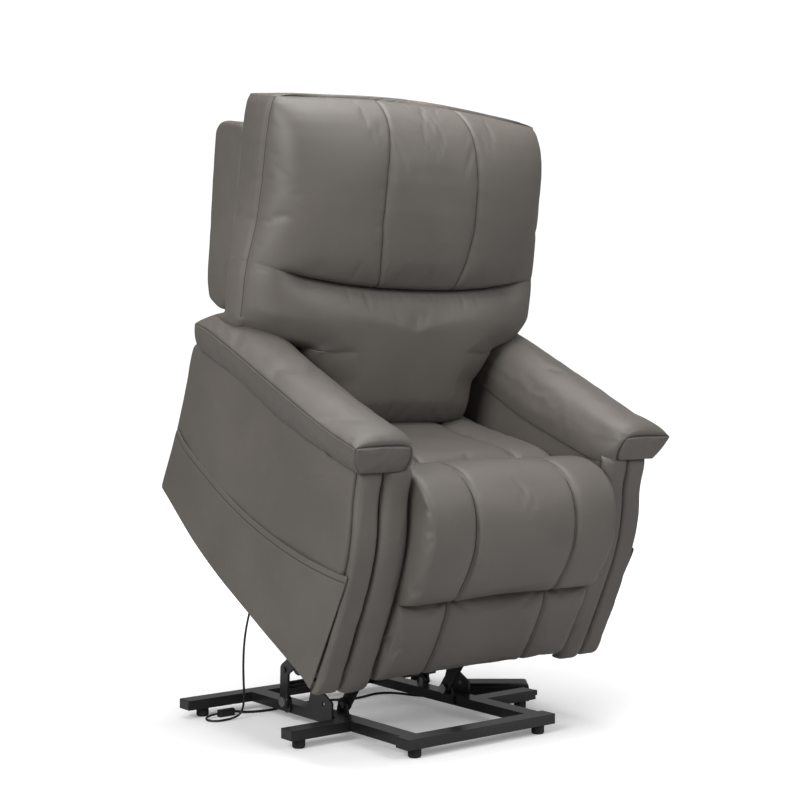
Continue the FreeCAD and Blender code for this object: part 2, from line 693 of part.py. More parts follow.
POCKET_STATIONS = [
    # place along the arm, lower edge, mouth, share of the full gap
    (16, 3, 261, 0), (40, 3, 254, 0.25), (120, 3, 230, 0.7), (202, 3, 211, 1), (300, 3, 194, 1),
    (400, 3, 183, 0.8), (520, 11, 179, 0.5), (660, 34, 186, 0.2), (700, 40, 197, 0),
]


def pocket_section(a, points):
    wire = Part.makePolygon([V(x, a, h) for x, h in points + points[:1]])
    return wire


def make_pocket(side, sign, gap, floor):
    """A flat pouch on the arm's outer side, sewn at its sides and open along its slanted mouth."""
    skin, room = [], []
    for a, low, mouth, share in POCKET_STATIONS:
        out = ARM_OUT + gap * share
        full = max(floor - 4, low + 4)
        skin.append(pocket_section(a, [
            (ARM_OUT, low), (ARM_OUT + POCKET_T, low), (ARM_OUT + POCKET_T, max(low + 2, full - 26)),
            (out + POCKET_T, full), (out + POCKET_T, mouth), (ARM_OUT, mouth)]))
        if share:
            sole = max(floor, low + POCKET_RIM)
            room.append(pocket_section(a, [
                (ARM_OUT, sole), (out, sole), (out, mouth + 20), (ARM_OUT, mouth + 20)]))
    pouch = Part.makeLoft(skin, True, True).cut(Part.makeLoft(room, True, True))
    pouch = raise_chair(pouch)
    keep("side_pocket_" + side, pouch if sign > 0 else mirrored(pouch))


def make_handset():
    """Hand control that stands in the left pocket, its buttons above the mouth."""
    x0 = ARM_OUT + (LEFT_POCKET_GAP - HANDSET_T) / 2
    a0 = 236.0
    base = LEFT_POCKET_FLOOR + 0.1
    body = block(x0, x0 + HANDSET_T, a0, a0 + HANDSET_W, base, base + HANDSET_LONG)
    body = rounded(body, 7.0, lambda e: e.BoundBox.XLength > 1)
    buttons = []
    for rise in (22.0, 44.0):
        centre = (a0 + HANDSET_W / 2, base + HANDSET_LONG - rise)
        body = body.cut(cross_pin(x0 + HANDSET_T - 6, x0 + HANDSET_T, centre, BUTTON_R + BUTTON_FIT))
        start = x0 + HANDSET_T - 4
        buttons.append(cross_pin(start, x0 + HANDSET_T + BUTTON_PROUD, centre, BUTTON_R))
    keep("handset", raise_chair(body))
    keep("raise_button", raise_chair(buttons[0]))
    keep("lower_button", raise_chair(buttons[1]))


# Backrest, drawn with s up the back and t forward of its side seam

def back_point(s, t):
    lean = math.radians(BACK_LEAN)
    return (BACK_FOOT[0] + s * math.sin(lean) - t * math.cos(lean),
            BACK_FOOT[1] + s * math.cos(lean) + t * math.sin(lean))


def back_path(steps):
    """Turns a path of s and t values into one of a and h values."""
    path = []
    for step in steps:
        if len(step) == 4:
            path.append(back_point(*step[:2]) + back_point(*step[2:]))
        else:
            path.append(back_point(*step))
    return path


def meeting_arc(start, end):
    """Middle of the arc from start that runs level with the crease where it ends, so never past it."""
    rise, out = end[0] - start[0], start[1] - end[1]
    radius = (rise ** 2 + out ** 2) / (2 * abs(rise))
    half = math.atan2(out, radius - abs(rise)) / 2
    return (end[0] - math.copysign(radius * (1 - math.cos(half)), rise), end[1] + radius * math.sin(half))


BACK_REAR = -45.0
FRAME_REAR = -68.0
SHELL_FRONT = -68.3
HEAD_STATIONS = [0, 60, HEAD_SEAM_X - SEAM_HALF, HEAD_SEAM_X, HEAD_SEAM_X + SEAM_HALF,
                 200, 290, 345, 376, 393, BACK_HALF]
HEAD_DEPTH = [(0, 152), (200, 148), (290, 138), (345, 118), (376, 90), (393, 52), (BACK_HALF, 18)]
HEAD_CROWN = [(0, 26), (200, 22), (290, 16), (376, 5), (BACK_HALF, 0)]
CREASE = [(0, 92), (200, 100), (345, 118), (BACK_HALF, 131)]
LUMBAR_HALF = 249.0
LUMBAR_UPPER = [(0, 143), (200, 139), (290, 128), (345, 108), (376, 82), (393, 46), (BACK_HALF, 15)]
LUMBAR_LOWER = [(0, 143), (120, 141), (200, 133), (232, 120), (LUMBAR_HALF, 92)]


def make_back_pads():
    head = []
    for x in stations(HEAD_STATIONS):
        deep = between(HEAD_DEPTH, x)
        off = abs(abs(x) - HEAD_SEAM_X)
        deep -= SEAM_DEPTH * max(0.0, 1 - off / SEAM_HALF)
        low = between(CREASE, x) + SOFT_GAP
        top = 452 + between(HEAD_CROWN, x)
        fold, brow = (low, deep * 0.22), (low + 62, deep * 0.96)
        head.append((x, back_path([
            (low, BACK_REAR), fold, meeting_arc(brow, fold) + brow,
            (low + 160, deep * 1.03, 372, deep * 0.86),
            (top - 12, deep * 0.62, top, deep * 0.1), (top - 10, BACK_REAR),
        ])))
    keep("headrest_pad", raise_chair(ruled_loft(head)))

    middle = []
    for x in stations([0, 120, 200, 232, LUMBAR_HALF]):
        middle.append((x, back_path(
            [(-152, BACK_REAR), (-196, between(LUMBAR_LOWER, x) - 40)]
            + lumbar_front(x, between(LUMBAR_LOWER, x)))))
    lumbar = ruled_loft(middle)
    for sign in (1, -1):
        wing = []
        for x in (LUMBAR_HALF, 290, 345, 376, 393, BACK_HALF):
            deep = between(LUMBAR_UPPER, x)
            wing.append((sign * x, back_path(
                [(-4, BACK_REAR), (-12, deep * 0.45), (-6, deep * 0.84, 24, deep * 0.97)] + lumbar_top(x))))
        lumbar = lumbar.fuse(ruled_loft(wing))
    keep("lumbar_pad", raise_chair(lumbar.removeSplitter()))


def lumbar_front(x, low):
    """The front of the lumbar pad from its lower roll up to the crease, at this x."""
    deep = between(LUMBAR_UPPER, x)
    return [(-190, low - 12, -158, low), (-80, (low + deep * 0.97) / 2 + 4, 24, deep * 0.97)] + lumbar_top(x)


def lumbar_top(x):
    """The top of the lumbar pad's front, ending at its rear plane."""
    deep = between(LUMBAR_UPPER, x)
    crease = between(CREASE, x) - SOFT_GAP
    brow, fold = (crease - 28, deep * 0.8), (crease, deep * 0.2)
    return [(50, deep) + brow, meeting_arc(brow, fold) + fold, (crease, BACK_REAR)]


def make_back_frame():
    stile_in, stile_out = 206.0, 250.0
    front = BACK_REAR - 1
    stile = slab(back_path([(-120, front), (-120, FRAME_REAR), (400, FRAME_REAR), (400, front)]),
                 stile_in, stile_out)
    solids = [stile, mirrored(stile)]
    for low, half in ((-120, stile_in - PLATE_T), (120, stile_in), (355, stile_in)):
        solids.append(slab(back_path([(low, front), (low, FRAME_REAR), (low + 45, FRAME_REAR),
                                      (low + 45, front)]), -half, half))
    keep("back_frame", *[raise_chair(s) for s in solids])

    shell = []
    for x, inset in ((-SHELL_HALF, 12), (-SHELL_HALF + 4, 4), (-SHELL_HALF + 12, 0),
                     (SHELL_HALF - 12, 0), (SHELL_HALF - 4, 4), (SHELL_HALF, 12)):
        shell.append((x, back_path([
            (10, SHELL_FRONT), (-22 + inset, -102), (-18 + inset, -120, -3 + inset, -166 + inset),
            (190, -187 + inset, 388, -193 + inset), (412 - inset, -150, 411 - inset, -89),
            (403 - inset, SHELL_FRONT)])))
    keep("back_shell", raise_chair(ruled_loft(shell)))

    middle = (FRAME_REAR + front) / 2
    bracket = link_plate([RECLINE_PIVOT, back_point(-104, middle), back_point(40, middle)],
                         11.0, stile_in - PLATE_T, stile_in)
    bracket = bracket.fuse(cross_pin(stile_in - PLATE_T, stile_in, RECLINE_PIVOT, SHAFT_R + 6))
    shaft = cross_pin(-stile_in, stile_in, RECLINE_PIVOT, SHAFT_R)
    lugs = slot_lugs(RECLINE_DRIVE, RECLINE_DRIVE["pin"], RECLINE_PIVOT, RECLINE_SLOT)
    pivot = shaft.fuse([bracket, mirrored(bracket)] + lugs).removeSplitter()
    keep("back_pivot_frame", raise_chair(pivot))

    for shape, name in zip(make_drive(RECLINE_DRIVE, RECLINE_DRIVE["foot"], RECLINE_DRIVE["pin"]),
                           ("recline_motor", "recline_rod")):
        keep(name, raise_chair(shape))

    (low_a, low_h), (high_a, high_h) = COVER_LINE
    cover = slab([(low_a, low_h), (low_a + COVER_T, low_h), (high_a + COVER_T, high_h), (high_a, high_h)],
                 -ARM_IN, ARM_IN)
    keep("rear_cover", raise_chair(cover))


# Cords and what is on them, on the floor frame

def cord(name, points, radius, ends_straight=True):
    """A tube of straight runs and tangent arcs through hand-placed points. Prints its radii."""
    points = [V(*p) for p in points]
    edges = []
    radii = []
    last = points[0]
    length = 0.0
    for before, corner, after in zip(points, points[1:], points[2:]):
        back = (before - corner).normalize()
        ahead = (after - corner).normalize()
        turn = math.pi - back.getAngle(ahead)
        run = min((before - corner).Length, (after - corner).Length)
        bend = 0.45 * run / math.tan(turn / 2)
        cut = bend * math.tan(turn / 2)
        start, end = corner + back * cut, corner + ahead * cut
        centre = corner + (back + ahead).normalize() * (bend / math.cos(turn / 2))
        middle = centre + (corner - centre).normalize() * bend
        edges.append(Part.LineSegment(last, start).toShape())
        edges.append(Part.Arc(start, middle, end).toShape())
        length += (start - last).Length + bend * turn
        radii.append(bend)
        last = end
    edges.append(Part.LineSegment(last, points[-1]).toShape())
    length += (points[-1] - last).Length
    ring = Part.Wire(Part.makeCircle(radius, points[0], points[1] - points[0]))
    tube = Part.Wire(edges).makePipeShell([ring], True, False, 2)
    drift = tube.Volume / (math.pi * radius ** 2 * length) - 1
    print(name, "length", round(length, 1), "tightest", round(min(radii), 1), "volume drift", round(drift, 5))
    print("  radii", [round(r) for r in radii])
    return tube


HANGING_LEAD = [
    (-280, 406.1, 350.1), (-280, 419, 325), (-280, 435, 288), (-280, 453, 248), (-279, 469, 208),
    (-277, 480, 167), (-274, 487, 125), (-268, 495, 86), (-260, 505, 52), (-257, 514, 26), (-264, 518, 9),
    (-282, 519.5, 3.5), (-302, 519, 2.6), (-321, 519, 2.5), (-334, 532, 2.5), (-334, 550, 3.2),
    (-321, 563, 5), (-305, 563.6, 7.4), (-292, 563, 8),
]
FLOOR_LEAD = [
    (-252, 563, 8), (-240, 562, 6.2), (-222, 557, 3.2), (-196, 547, 3), (-162, 542, 3), (-122, 549, 3),
    (-80, 560, 3), (-36, 561, 3), (4, 549, 3), (36, 530, 3), (70, 523, 3), (104, 531, 3), (138, 540, 3),
    (168, 529, 3), (187, 502, 3), (197, 471, 3), (208, 442, 4), (225, 421, 7), (243, 407, 11), (258.5, 394.8, 12),
]
CONNECTOR = (-292, -252, 554, 572, 0, 16)
SUPPLY_SIZE = (170, 70, 42)
SUPPLY_AT = (335, 335)
SUPPLY_TURN = -38.0


def make_cords():
    keep("hanging_lead", cord("hanging_lead", HANGING_LEAD, THIN_LEAD_R))
    keep("floor_lead", cord("floor_lead", FLOOR_LEAD, LEAD_R))
    joint = block(*CONNECTOR)
    keep("lead_connector", rounded(joint, 4.0, lambda e: e.BoundBox.XLength > 1 or e.BoundBox.ZLength > 1))

    long, wide, tall = SUPPLY_SIZE
    body = block(-long / 2, long / 2, -wide / 2, wide / 2, 0, tall)
    body = rounded(body, 10.0, lambda e: e.BoundBox.ZMin > tall / 2)
    relief = Part.makeCone(4.5, 6.5, 12, V(-long / 2 - 12, 0, 12), V(1, 0, 0))
    neck = Part.makeCylinder(4, 8, V(long / 2, 0, 14), V(1, 0, 0))
    plug = Part.makeCylinder(6.5, 14, V(long / 2 + 8, 0, 14), V(1, 0, 0))
    supply = body.fuse([relief, neck, plug]).removeSplitter()
    supply.rotate(V(0, 0, 0), V(0, 0, 1), SUPPLY_TURN)
    supply.translate(V(*SUPPLY_AT, 0))
    keep("power_supply", supply)


def make_all():
    make_base()
    make_brackets()
    make_lift_links()
    make_lift_drive()
    make_mechanism()
    make_seat()
    make_legrest()
    make_arm("left", 1)
    make_arm("right", -1)
    make_pocket("left", 1, LEFT_POCKET_GAP, LEFT_POCKET_FLOOR)
    make_pocket("right", -1, RIGHT_POCKET_GAP, 3.0)
    make_handset()
    make_back_pads()
    make_back_frame()
    make_cords()


CORD_NODES = ("hanging_lead", "floor_lead", "lead_connector", "power_supply")


def origin_shift():
    """From the drawing's origin to the middle of the chair's outline on the floor."""
    ys = []
    for name, solids in parts.items():
        if name in CORD_NODES:
            continue
        for solid in solids:
            room = solid.optimalBoundingBox(True, False)
            ys += [room.YMin, room.YMax]
    return -(min(ys) + max(ys)) / 2


make_all()
SHIFT_Y = origin_shift()
print("origin moved along Y by", round(SHIFT_Y, 4))
for name, solids in sorted(parts.items()):
    whole = solids[0] if len(solids) == 1 else Part.makeCompound(solids)
    whole = whole.copy()
    whole.translate(V(0, SHIFT_Y, 0))
    if not whole.isValid() or not whole.Solids:
        print("NOT VALID", name)
    whole.exportStep("parts/" + name + ".step")
print(len(parts), "parts")
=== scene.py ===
# %% [markdown]
# A lift recliner chair in taupe leather, raised and tipped forward on its black steel base.
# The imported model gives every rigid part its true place. This lesson dresses it: the pads, arms and
# leads become soft forms, and every surface gets a material built from nodes.

# %% Load the frame
import json
import math

import bmesh
import bpy
import numpy as np
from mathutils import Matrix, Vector, noise


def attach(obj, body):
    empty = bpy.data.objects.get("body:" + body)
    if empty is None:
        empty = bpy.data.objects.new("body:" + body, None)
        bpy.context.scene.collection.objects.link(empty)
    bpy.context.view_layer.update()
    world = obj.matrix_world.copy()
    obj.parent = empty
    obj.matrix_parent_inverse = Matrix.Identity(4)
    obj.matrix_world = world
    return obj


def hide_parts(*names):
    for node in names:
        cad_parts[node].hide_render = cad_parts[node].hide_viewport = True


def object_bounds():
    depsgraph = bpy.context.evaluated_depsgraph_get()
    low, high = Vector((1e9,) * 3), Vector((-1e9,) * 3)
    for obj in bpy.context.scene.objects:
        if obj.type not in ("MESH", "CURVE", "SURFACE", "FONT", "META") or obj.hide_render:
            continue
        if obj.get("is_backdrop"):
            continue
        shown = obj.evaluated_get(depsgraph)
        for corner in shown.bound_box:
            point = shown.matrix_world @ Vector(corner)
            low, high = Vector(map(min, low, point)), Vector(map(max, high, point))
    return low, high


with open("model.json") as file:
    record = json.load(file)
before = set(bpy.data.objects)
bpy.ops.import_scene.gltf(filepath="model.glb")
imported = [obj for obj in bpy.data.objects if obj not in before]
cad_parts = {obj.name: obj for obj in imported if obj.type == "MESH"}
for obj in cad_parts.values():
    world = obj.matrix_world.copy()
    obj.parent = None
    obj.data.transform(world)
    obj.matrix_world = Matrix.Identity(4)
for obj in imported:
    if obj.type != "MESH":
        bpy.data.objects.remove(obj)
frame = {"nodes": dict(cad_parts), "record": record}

cad_low, cad_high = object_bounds()
print("CAD box", [round(v, 4) for v in cad_low], [round(v, 4) for v in cad_high])

# %% [markdown]
# The camera comes first, because everything else is judged through it. It stands low in front of the
# chair's right arm. A long lens keeps that near arm from looking much larger than the far one.

# %% Camera
ROW_SHIFT = -240.9083  # mm along y, from where the chair was drawn to the middle of its box
IMAGE_WIDTH, SENSOR_WIDTH, FOCAL_PIXELS = 800, 36, 1598.5
CAMERA_AT = (-2.1942, -2.5403 + ROW_SHIFT / 1000, 0.8006)
CAMERA_YAW = math.radians(38.0097)
CAMERA_DIP = math.radians(1.2634)
camera = bpy.data.cameras.new("camera")
camera.sensor_width = SENSOR_WIDTH
camera.lens = FOCAL_PIXELS * SENSOR_WIDTH / IMAGE_WIDTH
camera_object = bpy.data.objects.new("camera", camera)
bpy.context.collection.objects.link(camera_object)
camera_object.location = CAMERA_AT
camera_object.rotation_euler = (math.pi / 2 - CAMERA_DIP, 0, -CAMERA_YAW)
bpy.context.scene.camera = camera_object

# %% [markdown]
# The leather was drawn for the chair at rest on its frame, so its shapes are written in the seated
# frame: x to the sitter's left, a to the rear and h up, in millimetres. One function tips them into the
# raised pose. The back has its own pair, s up the back and t forward of its side seam.

# %% From the seated frame to the row frame
CHAIR_TILT = math.radians(28.3)
CHAIR_CORNER = (45 + ROW_SHIFT, 156)
BACK_LEAN = math.radians(18.2)
BACK_FOOT = (632, 505)


def from_chair(points):
    """Row-frame metres of points given as x, a and h in millimetres."""
    x, a, h = np.moveaxis(np.asarray(points, float), -1, 0)
    c, s = math.cos(CHAIR_TILT), math.sin(CHAIR_TILT)
    return np.stack([x, CHAIR_CORNER[0] + a * c - h * s, CHAIR_CORNER[1] + a * s + h * c], -1) / 1000


def from_back(points):
    """Row-frame metres of points given as x, s and t in millimetres."""
    x, s, t = np.moveaxis(np.asarray(points, float), -1, 0)
    sl, cl = math.sin(BACK_LEAN), math.cos(BACK_LEAN)
    return from_chair(np.stack([x, BACK_FOOT[0] + s * sl - t * cl, BACK_FOOT[1] + s * cl + t * sl], -1))


# %% [markdown]
# A pad is a stack of rings: one closed curve for each step along it, closed at both ends by rings that
# shrink to a point. Rings keep the same number of points, so the skin is all quads, which subdivide and
# simulate well, and each vertex knows how far it lies from the nearest seam.

# %% Rings, skins and curves
FAR = 50.0  # mm, the distance that stands for no seam near
CLOSING_EASE, CLOSING_RIM = 1.3, 60  # how the closing rings crowd to the edge, and their rim distance in mm


def smooth_line(points, per, closed=True):
    """Points on a smooth curve through the given ones, with the same count on every stretch."""
    pts = np.asarray(points, float)
    n = len(pts)
    out = []
    spans = n if closed else n - 1
    for i in range(spans):
        if closed:
            p0, p1, p2, p3 = pts[i - 1], pts[i], pts[(i + 1) % n], pts[(i + 2) % n]
        else:
            p1, p2 = pts[i], pts[i + 1]
            p0 = pts[i - 1] if i else 2 * p1 - p2
            p3 = pts[i + 2] if i + 2 < n else 2 * p2 - p1
        d1 = max(np.linalg.norm(p1 - p0), 1e-6) ** 0.5
        d2 = max(np.linalg.norm(p2 - p1), 1e-6) ** 0.5
        d3 = max(np.linalg.norm(p3 - p2), 1e-6) ** 0.5
        m1 = (p1 - p0) / d1 - (p2 - p0) / (d1 + d2) + (p2 - p1) / d2
        m2 = (p2 - p1) / d2 - (p3 - p1) / (d2 + d3) + (p3 - p2) / d3
        m1, m2 = m1 * d2, m2 * d2
        u = np.linspace(0, 1, per, endpoint=False)[:, None]
        out.append((2 * u ** 3 - 3 * u ** 2 + 1) * p1 + (u ** 3 - 2 * u ** 2 + u) * m1
                   + (-2 * u ** 3 + 3 * u ** 2) * p2 + (u ** 3 - u ** 2) * m2)
    if not closed:
        out.append(pts[-1:])
    return np.concatenate(out)


def evenly(line, count):
    """The same open line with this many points, evenly spaced."""
    line = np.asarray(line, float)
    steps = np.concatenate([[0], np.cumsum(np.linalg.norm(np.diff(line, axis=0), axis=1))])
    at = np.linspace(0, steps[-1], count)
    return np.stack([np.interp(at, steps, line[:, k]) for k in range(line.shape[1])], 1)


def table(pairs, x):
    """The value at x, on straight lines between the rows of a table."""
    xs, vs = zip(*pairs)
    return np.interp(x, xs, vs)


def new_mesh(name, verts, faces, smooth=True):
    mesh = bpy.data.meshes.new(name)
    mesh.from_pydata([tuple(v) for v in verts], [], faces)
    mesh.update()
    if smooth:
        mesh.polygons.foreach_set("use_smooth", [True] * len(mesh.polygons))
    obj = bpy.data.objects.new(name, mesh)
    bpy.context.collection.objects.link(obj)
    return obj


def point_attribute(obj, name, values):
    layer = obj.data.attributes.get(name) or obj.data.attributes.new(name, "FLOAT", "POINT")
    layer.data.foreach_set("value", np.asarray(values, np.float32))


def skin(name, rings, seam, rim, caps, place=from_chair, cap_steps=5):
    """A closed skin over a stack of rings. A cap is how far its middle stands out, as a vector. seam and
    rim are distances to two seam lines, negative beyond the line, so that a line falls between points."""
    rings = np.asarray(rings, float)
    count, n = rings.shape[:2]
    seam = np.full((count, n), FAR) if seam is None else np.asarray(seam, float)
    rim = np.full((count, n), FAR) if rim is None else np.asarray(rim, float)
    ends, end_rims, rows = [], [], list(zip(rings, seam, rim))
    for cap, last in zip(caps, (False, True)):
        ring, near, edge = rows[-1] if last else rows[0]
        centre = ring.mean(0)
        cap = np.asarray(cap, float)
        closing = []
        for k in range(1, cap_steps):
            share = 1 - (k / cap_steps) ** CLOSING_EASE
            closing.append((centre + (ring - centre) * share + cap * (1 - share ** 2),
                            np.full(n, FAR), np.where(edge > FAR - 1, FAR, -CLOSING_RIM * (1 - share))))
        rows = rows + closing if last else closing[::-1] + rows
        ends.append(centre + cap)
        end_rims.append(closing[-1][2].min())
    verts = np.concatenate([r[0] for r in rows] + [ends])
    i, j = np.meshgrid(np.arange(len(rows) - 1), np.arange(n), indexing="ij")
    k = (j + 1) % n
    quads = np.stack([i * n + j, i * n + k, (i + 1) * n + k, (i + 1) * n + j], -1).reshape(-1, 4)
    last, low, high = (len(rows) - 1) * n, len(rows) * n, len(rows) * n + 1
    faces = quads.tolist()
    faces += [((j + 1) % n, j, low) for j in range(n)]
    faces += [(last + j, last + (j + 1) % n, high) for j in range(n)]
    obj = new_mesh(name, place(verts), faces)
    point_attribute(obj, "seam", np.concatenate([r[1] for r in rows] + [[FAR, FAR]]))
    point_attribute(obj, "rim", np.concatenate([r[2] for r in rows] + [end_rims]))
    outward_faces(obj)
    return obj


def outward_faces(obj):
    bm = bmesh.new()
    bm.from_mesh(obj.data)
    bmesh.ops.recalc_face_normals(bm, faces=bm.faces)
    bm.to_mesh(obj.data)
    bm.free()
    obj.data.update()


def seam_distance(obj):
    """How far each point lies from the nearest seam, in millimetres."""
    nearest = np.full(len(obj.data.vertices), FAR)
    for name in ("seam", "rim"):
        out = np.zeros(len(obj.data.vertices), np.float32)
        obj.data.attributes[name].data.foreach_get("value", out)
        nearest = np.minimum(nearest, np.abs(out))
    return nearest


def places_of(mesh):
    out = np.zeros(len(mesh.vertices) * 3, np.float32)
    mesh.vertices.foreach_get("co", out)
    return out.reshape(-1, 3).astype(float)


def normals_at(obj):
    out = np.zeros(len(obj.data.vertices) * 3, np.float32)
    obj.data.vertices.foreach_get("normal", out)
    return out.reshape(-1, 3)


def move_to(obj, places):
    obj.data.vertices.foreach_set("co", np.asarray(places, np.float32).ravel())
    obj.data.update()


# %% [markdown]
# Leather over foam stands proud between its seams and is held flat at them. A short cloth simulation
# with air pressure inside does this: the seam and the hidden back of the pad are pinned, the rest swells
# and wrinkles a little, and no point may move more than a cap, so the pad stays where the frame says.

# %% Swell a pad by simulation
SIM_FRAMES = 20
PRESSURE = 4.0
STRETCH_STIFFNESS, SHEAR_STIFFNESS, BEND_STIFFNESS = 15.0, 5, 1.5


def swell(obj, pinned, cap, slack):
    """Runs a cloth simulation on the pad and keeps its result. No point moves more than cap, in metres,
    and slack is the share by which the cover is larger than its rings."""
    rest = places_of(obj.data)
    group = obj.vertex_groups.new(name="held")
    for level in np.unique(pinned):
        if level > 0:
            group.add([int(i) for i in np.flatnonzero(pinned == level)], float(level), "REPLACE")
    cloth = obj.modifiers.new("cloth", "CLOTH")
    settings = cloth.settings
    settings.quality = 5
    settings.mass = 0.4
    settings.tension_stiffness = settings.compression_stiffness = STRETCH_STIFFNESS
    settings.shear_stiffness = SHEAR_STIFFNESS
    settings.bending_stiffness = BEND_STIFFNESS
    settings.use_pressure = True
    settings.uniform_pressure_force = PRESSURE
    settings.shrink_min = -slack
    settings.vertex_group_mass = "held"
    settings.effector_weights.gravity = 0
    scene = bpy.context.scene
    for step in range(1, SIM_FRAMES + 1):
        scene.frame_set(step)
    graph = bpy.context.evaluated_depsgraph_get()
    swelled = places_of(obj.evaluated_get(graph).data)
    obj.modifiers.remove(cloth)
    obj.vertex_groups.clear()
    scene.frame_set(1)
    shift = swelled - rest
    size = np.linalg.norm(shift, axis=1, keepdims=True)
    shift *= np.minimum(1, cap / np.maximum(size, 1e-9))
    move_to(obj, rest + shift)
    print(obj.name, "wanted to swell by", round(float(size.max()) * 1000, 1), "mm and may by", cap * 1000)


def refine(obj):
    """Applies one level of subdivision surface and keeps the attributes."""
    modifier = obj.modifiers.new("subdivide", "SUBSURF")
    modifier.levels = modifier.render_levels = 1
    graph = bpy.context.evaluated_depsgraph_get()
    mesh = bpy.data.meshes.new_from_object(obj.evaluated_get(graph), preserve_all_data_layers=True,
                                           depsgraph=graph)
    obj.modifiers.remove(modifier)
    obj.data = mesh
    mesh.name = obj.name


def press_seam(obj, depth, width):
    """Pulls the skin in along its seams, by depth in metres and over width in millimetres."""
    dip = depth * np.exp(-(seam_distance(obj) / width) ** 2)
    move_to(obj, places_of(obj.data) - normals_at(obj) * dip[:, None])


def row_of_points(obj, indices, lift=0.0002):
    """Places along a row of the coarse mesh, just off the skin."""
    return (places_of(obj.data) + normals_at(obj) * lift)[indices]


# %% [markdown]
# Materials are sums: a grain is noise plus noise, an edge is a distance turned into a mask. Written with
# nodes alone this takes pages, so one small class lets an ordinary expression add its Math nodes.

# %% Shader sums
class Shade:
    """A socket that ordinary operators turn into Math nodes."""

    def __init__(self, tree, socket):
        self.tree, self.socket = tree, socket

    def node(self, kind, settings=None, inputs=None, out=0):
        """Adds a node of this type, its settings first, and gives its output."""
        made = self.tree.nodes.new(kind)
        for key, value in (settings or {}).items():
            setattr(made, key, value)
        for key, value in (inputs or {}).items():
            if isinstance(value, Shade):
                self.tree.links.new(value.socket, made.inputs[key])
            else:
                made.inputs[key].default_value = value
        return Shade(self.tree, made.outputs[out])

    def maths(self, operation, other=None, swap=False, clamp=False):
        first, second = (other, self) if swap else (self, other)
        inputs = {0: first} if other is None else {0: first, 1: second}
        return self.node("ShaderNodeMath", {"operation": operation, "use_clamp": clamp}, inputs)

    def __add__(self, other):
        return self.maths("ADD", other)

    def __mul__(self, other):
        return self.maths("MULTIPLY", other)

    def __sub__(self, other):
        return self.maths("SUBTRACT", other)

    def __rsub__(self, other):
        return self.maths("SUBTRACT", other, swap=True)

    def __truediv__(self, other):
        return self.maths("DIVIDE", other)

    __radd__ = __add__
    __rmul__ = __mul__

    def ramp(self, low, high):
        """0 below low, 1 above high and a smooth rise between them."""
        return self.node("ShaderNodeMapRange", {"interpolation_type": "SMOOTHSTEP"},
                         {"Value": self, "From Min": low, "From Max": high})

    def noise(self, scale, detail, **more):
        """Noise over this place."""
        inputs = {"Vector": self, "Scale": scale, "Detail": detail, **more}
        return self.node("ShaderNodeTexNoise", None, inputs)

    def bump(self, strength, distance):
        """Normals tilted by this height."""
        return self.node("ShaderNodeBump", None, {"Strength": strength, "Distance": distance, "Height": self})

    def blend(self, first, second):
        """First colour where this is 0, second where it is 1."""
        made = self.tree.nodes.new("ShaderNodeMix")
        made.data_type = "RGBA"
        for key, value in ((0, self), (6, first), (7, second)):
            if isinstance(value, Shade):
                self.tree.links.new(value.socket, made.inputs[key])
            else:
                made.inputs[key].default_value = (*value, 1)
        return Shade(self.tree, made.outputs[2])


def start_material(name):
    """An empty material: its shader, and the place on the object that its sums start from."""
    material = bpy.data.materials.new(name)
    material.use_nodes = True
    tree = material.node_tree
    return material, tree.nodes["Principled BSDF"], Shade(tree, None).node("ShaderNodeTexCoord", out=3)


def connect(shader, **links):
    for key, value in links.items():
        socket = shader.inputs[key.replace("_", " ")]
        if isinstance(value, Shade):
            value.tree.links.new(value.socket, socket)
        else:
            socket.default_value = value


# %% [markdown]
# Upholstery leather has three scales: pebbles about a millimetre across, soft creases a few
# centimetres long, and a slow drift of tone. At a seam the groove is coloured near-black as painted
# shade, and the ridge beside it is a little worn and shiny. The seam distance that each vertex carries
# draws that line of painted shade sharply.

# %% Leather
LEATHER = (0.112, 0.100, 0.089)
LEATHER_DARK = (0.094, 0.084, 0.075)
LEATHER_WORN = (0.140, 0.127, 0.114)
# painted shade: the near-black colour laid into seam grooves in place of their shadow
SEAM_SHADOW = (0.022, 0.019, 0.017)


def make_leather(name, seams=True):
    material, shader, place = start_material(name)
    drift = place.noise(5.0, 3.0, Roughness=0.5)
    crease = place.noise(34.0, 4.0, Roughness=0.55, Distortion=0.6)
    pebble = place.node("ShaderNodeTexVoronoi", {"feature": "SMOOTH_F1"},
                        {"Vector": place, "Scale": 620.0, "Smoothness": 0.35, "Randomness": 1.0})
    pore = place.noise(1400.0, 2.0, Roughness=0.6)
    colour = drift.ramp(0.3, 0.72).blend(LEATHER, LEATHER_DARK)
    colour = (crease.ramp(0.55, 0.75) * 0.16).blend(colour, LEATHER_WORN)
    height = pebble * 0.55 + pore * 0.25 + crease * 0.9
    rough = 0.43 + crease * 0.10 + drift * 0.06
    if seams:
        seam, rim = [place.node("ShaderNodeAttribute", {"attribute_name": n}, out=2).maths("ABSOLUTE")
                     for n in ("seam", "rim")]
        near = seam.maths("MINIMUM", rim)
        line = 1 - near.ramp(0.5, 1.5)
        ridge = near.ramp(1.2, 3.0) * (1 - near.ramp(4.0, 9.0))
        colour = (ridge * 0.10).blend(colour, LEATHER_WORN)
        # painted shade: the seam groove is coloured near-black to stand for the shadow in it
        colour = (line * 0.85).blend(colour, SEAM_SHADOW)
        height = height + ridge * 0.8 - line * 1.6
        rough = rough + line * 0.25 - ridge * 0.03
    connect(shader, Base_Color=colour, Roughness=rough, Normal=height.bump(0.26, 0.0010),
            Specular_IOR_Level=0.42)
    return material


leather = make_leather("taupe leather")
plain_leather = make_leather("taupe leather, no seams", seams=False)
